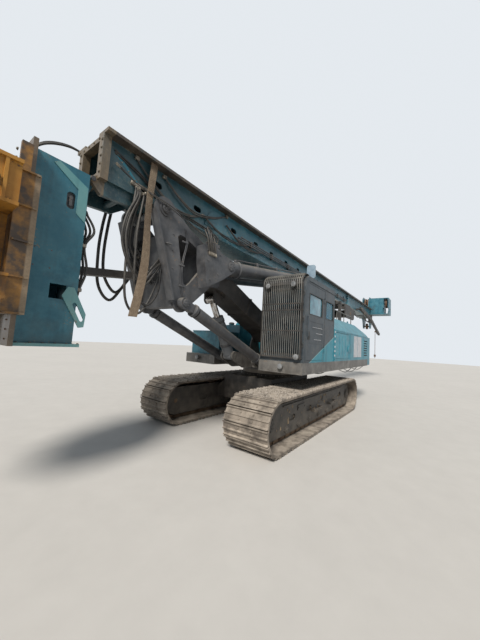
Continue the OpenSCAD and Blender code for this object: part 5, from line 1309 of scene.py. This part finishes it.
def makeStrap():
    # webbing laid over the rail that hangs down the near side
    path = [(strap["inner"], strap["top"] + 0.006), (0.16, strap["top"] + 0.006),
            (0.26, strap["top"] + 0.007), (0.315, strap["top"] + 0.006), (0.334, strap["top"] - 0.010),
            (0.342, strap["top"] - 0.05), (0.365, 3.80), (0.400, 3.45), (0.445, 3.05), (0.490, 2.60),
            (0.495, 2.25), (0.490, strap["end"])]
    points = smoothPath([Vector((0, y, z)) for y, z in path], 8)
    mesh = bmesh.new()
    run, rings = 0.0, []
    for i, place in enumerate(points):
        ahead = (points[min(i + 1, len(points) - 1)] - points[max(i - 1, 0)]).normalized()
        out = Vector((0, -ahead.z, ahead.y)).normalized()
        out = out if out.y + out.z > 0 else -out
        run += (place - points[i - 1]).length if i else 0.0
        free = min(1.0, max(0.0, (run - 0.45) / 0.9))
        twist = 0.35 * free * math.sin(run * 2.1)
        drift = strap["lean"] * max(0.0, run - 0.35) + 0.03 * free * math.sin(run * 2.6)
        sideways = Vector((math.cos(twist), 0, 0)) + out * math.sin(twist)
        centre = Vector((strap["x"] + slewX + drift, place.y, place.z))
        half = strap["width"] / 2
        row = [centre + sideways * (half * k) + out * (0.002 * math.cos(k * math.pi / 2))
               for k in (-1, -0.6, -0.2, 0.2, 0.6, 1)]
        rings.append(row + [p - out * strap["thick"] for p in reversed(row)])
    addLoft(mesh, rings)
    band = finishPiece(mesh, "slingStrap", "webbing", "mast",
                       blendTo=("support", (strap["x"], 0.40, 3.70), (strap["x"], 0.49, 2.30)))


# radius of each hose, and the loops: way out from the middle, start, lowest point, belly to the front
crossing = {"footHose": 0.014, "supportHose": 0.0155, "farHose": 0.020, "cable": 0.007, "ramHose": 0.011,
            "seed": 7, "footY": (-0.476, -0.512),
            "loops": [(0.305, 4.08, 2.46, 0.12), (0.342, 4.10, 2.40, 0.15), (0.305, 4.04, 2.52, 0.09),
                      (0.342, 4.07, 2.36, 0.13), (0.305, 3.98, 2.58, 0.08), (0.342, 4.01, 2.10, 0.05),
                      (0.325, 4.12, 1.98, 0.05)], "farLoops": [(-0.31, 4.08, 2.30), (-0.34, 4.14, 2.18)]}


def makeCrossing():
    mastEnds, footEnds, supportEnds = bmesh.new(), bmesh.new(), bmesh.new()
    # mast to foot: two hoses outside the far rail
    for k, y in enumerate(crossing["footY"]):
        layHose(f"mastToFootHose_{k + 1}", [(4.00, -0.30, 4.072), (4.13, -0.37, 4.10),
                                            (4.36, y, 4.12 + 0.02 * k), (4.64, y, 4.11 + 0.03 * k),
                                            (4.90, y, 3.98 + 0.03 * k), (5.05, y, 3.76),
                                            (5.02, -0.42, 3.58), (4.92 - 0.05 * k, -0.33, 3.46),
                                            (4.82 - 0.05 * k, -0.262, 3.43)], crossing["footHose"], "mast",
                mastEnds, footEnds, ("foot", (4.40, 0, 4.05), (4.88, 0, 3.68)), 8)
    # mast to support: bundles that hang in loops beside the foot's path
    toSupport = ("support", spot(4.10, 0.3, 3.40), spot(4.10, 0.3, 2.70))
    for k, (y, x, low, belly) in enumerate(crossing["loops"]):
        layHose(f"supportHose_{k + 1}", [(x - 0.02, 0.290, 3.62 - 0.03 * (k % 3)), (x, y - 0.01, 3.46),
                                         (x + belly * 0.8, y, 3.15), (x + belly, y, 2.86),
                                         (x + belly * 0.3, y, low + 0.19), (x - 0.16, y, low),
                                         (x - 0.32, y, low + 0.19), (3.66, y, (low + 3.03 + 0.035 * k) / 2),
                                         (3.605, y, 2.84 + 0.035 * k)], crossing["supportHose"], "mast",
                mastEnds, supportEnds, toSupport)
    for k, (y, x, low) in enumerate(crossing["farLoops"]):
        layHose(f"supportHose_{k + 8}", [(x, -0.295, 3.58), (x + 0.04, y, 3.20), (x + 0.06, y, 2.80),
                                         (x + 0.02, y, low + 0.19), (x - 0.15, y, low),
                                         (x - 0.31, y, low + 0.19), (3.68, y, 2.68), (3.605, y, 2.92)],
                crossing["farHose"], "mast", mastEnds, supportEnds, toSupport)
    for k in range(2):
        layHose(f"thinCable_{k + 1}", [(4.40, 0.345, 3.72 - 0.02 * k), (4.10, 0.355, 3.60),
                                       (3.70, 0.490, 3.48 - 0.03 * k), (3.35, 0.500, 3.38 - 0.02 * k),
                                       (3.05, 0.56, 3.26), (2.95, 0.585, 3.19)], crossing["cable"], "mast",
                mastEnds, supportEnds, ("support", (4.30, 0.35, 3.7), (3.45, 0.45, 3.4)), 8)
    # clamp plates on the mast's sides for the loops' upper ends
    for side in (-1, 1):
        addBlock(mastEnds, (3.94, side * 0.290 - 0.032, 3.60), (4.18, side * 0.290 + 0.022, 3.65), 0.006)
        for x in (3.97, 4.15):
            addBolt(mastEnds, (x, side * 0.312, 3.625), (0, side, 0), 0.009)
    # holders on the support, blocks over the rams, and the short hoses that leave them in a tangle
    held = bmesh.new()
    for side in (-1, 1):
        for z in (2.84, 3.04):
            addBlock(held, (3.54, side * 0.322 - 0.045, z - 0.03), (3.618, side * 0.322 + 0.045, z + 0.03),
                     0.006)
        addBlock(held, (2.74, side * 0.52 - 0.05, 3.172), (2.98, side * 0.52 + 0.05, 3.23), 0.006)
    finishPiece(held, "hoseHolders", "darkGrey", "support")
    draw = random.Random(crossing["seed"])
    for side in (-1, 1):
        for k in range(6):
            x = 2.78 + 0.035 * k
            top = 3.36 + draw.uniform(-0.05, 0.06)
            points = [spot(x, side * 0.52, 3.225), spot(x + draw.uniform(-0.03, 0.03),
                                                        side * (0.53 + 0.02 * draw.random()), top - 0.05),
                      spot(x + 0.09 + 0.01 * k, side * (0.54 + draw.uniform(-0.02, 0.04)), top),
                      spot(x + 0.14 + draw.uniform(-0.03, 0.03), side * (0.60 + 0.008 * k), 3.21),
                      spot(2.86 + 0.03 * k, side * 0.612, 3.00)]
            layHose(f"ramHose_{k + 1 if side < 0 else k + 7}", points, crossing["ramHose"], "support",
                    supportEnds, supportEnds, steps=8)
    finishPiece(mastEnds, "mastHoseEnds", "zinc", "mast")
    finishPiece(footEnds, "footHoseEnds", "zinc", "foot")
    finishPiece(supportEnds, "supportHoseEnds", "zinc", "support")
    print("crossing hoses made, lengths in metres:", hoseLengths)


# drums: piece, body, place, radius of the bare drum, half its width; clips on the rear arm, sags between them
ropes = {"thick": 0.024, "drums": (("roofRope", "winch", -2.6, 2.83, 0.200, 0.270),
                                   ("mastRope", "mast_winch", -5.85, 3.182, 0.140, 0.355)),
         "armClips": ((-8.10, 3.500), (-8.95, 3.405), (-9.98, 3.230), (-10.70, 3.040), (-11.62, 2.790)),
         "armSags": (0.05, 0.11, 0.04, 0.09)}


def makeRopes():
    # rope wound on both drums
    for name, body, x, z, radius, half in ropes["drums"]:
        mesh = bmesh.new()
        turns = int(2 * half / ropes["thick"])
        profile = []
        for i in range(turns):
            h = 2 * half * i / turns
            profile += [(h, radius + 0.002), (h + 0.005, radius + 0.017), (h + 0.012, radius + 0.023),
                        (h + 0.019, radius + 0.017)]
        profile.append((2 * half, radius + 0.002))
        addTurned(mesh, (x, -half, z), (0, 1, 0), profile, 28)
        finishPiece(mesh, name, "wireRope", body)
    sheaves = bmesh.new()
    for y in (-0.07, 0.07):
        for side in (-1, 1):
            out = Vector((0, side, 0))
            centre = spot(-11.42, y + side * 0.030, 4.462)
            addTurned(sheaves, centre - out * 0.001, out, [(0, 0.298), (0.004, 0.296), (0.006, 0.268),
                                                           (0.0, 0.262)], 40)
            for i in range(6):
                angle = math.pi * i / 3
                at = centre + Vector((0.17 * math.cos(angle), 0, 0.17 * math.sin(angle)))
                addTurned(sheaves, at - out * 0.002, out, [(0, 0.045), (0.004, 0.045), (0.004, 0.036),
                                                           (0.003, 0.034)], 16)
    finishPiece(sheaves, "sheaveRims", "rusty_steel", "head_sheaves")
    side = bmesh.new()
    boltRing(side, (-11.48, 1.031, 4.442), (0, 1, 0), 0.12, 6, 0.012)
    addTurned(side, (-11.48, 1.029, 4.442), (0, 1, 0), [(0, 0.248), (0.004, 0.246), (0.006, 0.22),
                                                        (0, 0.214)], 36)
    finishPiece(side, "sideSheaveRim", "rusty_steel", "side_sheave")
    lower = bmesh.new()
    for y in (-0.0405, 0.0405):
        addTurned(lower, (-11.39, y, 3.112), (0, 1 if y > 0 else -1, 0),
                  [(-0.001, 0.168), (0.004, 0.166), (0.006, 0.144), (0, 0.140)], 30)
        boltRing(lower, (-11.39, y, 3.112), (0, 1 if y > 0 else -1, 0), 0.08, 6, 0.009)
    finishPiece(lower, "rearSheaveRim", "rusty_steel", "rear_sheave")
    head = bmesh.new()
    for out in (-1, 1):
        y = out * 0.190
        for x, z in ((-10.9, 3.62), (-10.9, 3.90), (-11.05, 4.30), (-11.3, 4.78), (-11.6, 4.78),
                     (-11.85, 4.45), (-11.9, 4.0), (-11.7, 3.55), (-11.35, 3.32)):
            addBolt(head, (x, y, z), (0, out, 0), 0.014)
        boltRing(head, (-11.36, y, 3.672), (0, out, 0), 0.165, 8, 0.012)
        # rope keepers
        for x in (-11.80, -11.04):
            addRod(head, (x, y - out * 0.05, 4.60), (x, y + out * 0.012, 4.60), 0.016, 10, 0.003)
    for y, out in ((1.160, 1), (0.870, -1)):
        for x in (-12.02, -11.90, -11.24, -11.20):   # bolts in the frame of the side sheave
            for z in (3.88, 4.16, 4.66):
                addBolt(head, (x, y, z), (0, out, 0), 0.011)
    for z in (3.842, 4.752):
        for x in (-12.04, -11.19):
            boltLine(head, (x, 0.30, z), (x, 1.10, z), 5, (0, 0, 1), 0.011)
    finishPiece(head, "headBolts", "zinc", "mast")
    # hoses clipped along the rear arm, which bends down behind its second pin
    arm, arms = bmesh.new(), bmesh.new()
    clips, sags = ropes["armClips"], ropes["armSags"]
    for k in range(3):
        points = []
        for i, (x, z) in enumerate(clips):
            if i:
                last = clips[i - 1]
                points.append(spot((x + last[0]) / 2, 0.556 + 0.004 * k,
                                   (z + last[1]) / 2 - 0.04 * k - sags[i - 1] * (1 + 0.4 * k)))
            points.append(spot(x, 0.553, z - 0.04 * k))
        addHose(arm, points, 0.0125, 8, 6, 0.04)
    for x, z in clips:
        addBlock(arms, (x - 0.02, 0.538, z - 0.11), (x + 0.02, 0.560, z + 0.03), 0.004)
    for k, y in enumerate((0.30, 0.36, 0.41)):
        addHose(arm, [(-6.6, y, 3.40), (-7.2, y, 3.28 - 0.05 * k), (-8.4, y, 3.40),
                      (-9.4, y, 3.26 - 0.04 * k), (-10.25, y, 3.30)], 0.014, 8, 7, 0.04)
    finishPiece(arm, "armHoses", "hose", "mast")
    for x, z in ((-7.48, 3.618), (-9.9, 3.352)):
        pinCap(arms, (x, 0.540, z), 1, 0.055)
    for share in (0.1, 0.3, 0.5, 0.7, 0.9):
        addBolt(arms, (-10.1 - 2.0 * share, 0.540, 3.22 - 0.55 * share), (0, 1, 0), 0.013)
    finishPiece(arms, "armBolts", "zinc", "mast")
    frames = bmesh.new()
    for side in (-1, 1):
        boltRing(frames, (-5.85, side * 0.440, 3.182), (0, side, 0), 0.10, 8, 0.012)
        boltLine(frames, (-5.55, side * 0.440, 3.30), (-5.55, side * 0.440, 3.10), 3, (0, side, 0), 0.012)
    finishPiece(frames, "winchBolts", "zinc", "mast")
    hook = bmesh.new()
    for z in (1.36, 1.44):
        addTurned(hook, (-11.90, 0.36, z), (0, 0, 1), [(0, 0.055), (0.004, 0.060), (0.018, 0.060),
                                                       (0.022, 0.055)], 20)
    finishPiece(hook, "hookBands", "rusty_steel", "hook")
    print("ropes and head made")


makeStrap()
makeCrossing()
makeRopes()


# mud on the tracks and side frames
mud = {"count": 110, "seed": 11}


def makeMud():
    draw = random.Random(mud["seed"])
    mesh = bmesh.new()
    for i in range(mud["count"]):
        side = draw.choice((-1, 1))
        x, z = draw.uniform(-1.9, 1.9), draw.uniform(0.30, 0.62)
        out = Vector((0, side, 0))
        centre = spot(x, side * 1.288, z)
        if i % 3 == 0:
            centre, out = spot(x, side * draw.uniform(1.12, 1.27), 0.678), Vector((0, 0, 1))
        size = draw.uniform(0.010, 0.034)
        first, second = across(out)
        rings = []
        for height, share in ((0, 1.0), (0.30, 0.92), (0.55, 0.62), (0.66, 0.12)):
            rings.append([centre + out * (height * size * 0.8) + first * (math.cos(a) * size * share * k)
                          + second * (math.sin(a) * size * share * k * 1.5)
                          for a, k in ((2 * math.pi * j / 9, 0.8 + 0.35 * math.sin(j * 2.3 + i))
                                       for j in range(9))])
        addLoft(mesh, rings)
    finishPiece(mesh, "mudLumps", "mud", "undercarriage", smooth=70)
    print("mud made")


makeMud()


# floor, light and background
studio = {"floor": (0.60, 0.58, 0.55), "floorSize": 120, "sun": (-0.80, -0.30, -0.75), "sunPower": 4.0,
          "sunSpread": 0.25, "sky": 0.30, "background": (0.78, 0.82, 0.86)}


def makeStudio():
    half = studio["floorSize"] / 2
    ground = bpy.data.meshes.new("floor")
    corners = [(slewX + x, y, 0) for x, y in ((-half, -half), (half, -half), (half, half), (-half, half))]
    ground.from_pydata(corners, [], [(0, 1, 2, 3)])
    ground.materials.append(plainSurface("floorPaint", studio["floor"],
                                         tuple(c * 0.93 for c in studio["floor"]), 0.9, 3, 0.1))
    floor = bpy.data.objects.new("floor", ground)
    bpy.context.scene.collection.objects.link(floor)
    lamp = bpy.data.lights.new("sun", "SUN")
    lamp.energy = studio["sunPower"]
    lamp.angle = studio["sunSpread"]
    lamp.color = (1.0, 0.95, 0.88)
    shown = bpy.data.objects.new("sun", lamp)
    shown.rotation_euler = Vector(studio["sun"]).to_track_quat("-Z", "Y").to_euler()
    bpy.context.scene.collection.objects.link(shown)
    world = bpy.data.worlds.new("studio")
    bpy.context.scene.world = world
    world.use_nodes = True
    tree = world.node_tree
    tree.nodes.clear()
    paths = put(tree, "ShaderNodeLightPath")
    seen = calc(tree, "MAXIMUM", paths.outputs["Is Camera Ray"], paths.outputs["Is Glossy Ray"])
    seen = calc(tree, "MAXIMUM", seen, paths.outputs["Is Transmission Ray"])
    soft = put(tree, "ShaderNodeBackground", {"Color": (0.80, 0.90, 1.0, 1), "Strength": studio["sky"]})
    pale = put(tree, "ShaderNodeBackground", {"Color": (*studio["background"], 1), "Strength": 1.0})
    blend = put(tree, "ShaderNodeMixShader", {0: seen, 1: soft.outputs[0], 2: pale.outputs[0]})
    end = put(tree, "ShaderNodeOutputWorld")
    tree.links.new(blend.outputs[0], end.inputs[0])
    bpy.context.scene.view_settings.view_transform = "Standard"
    print("floor and light made")


makeStudio()
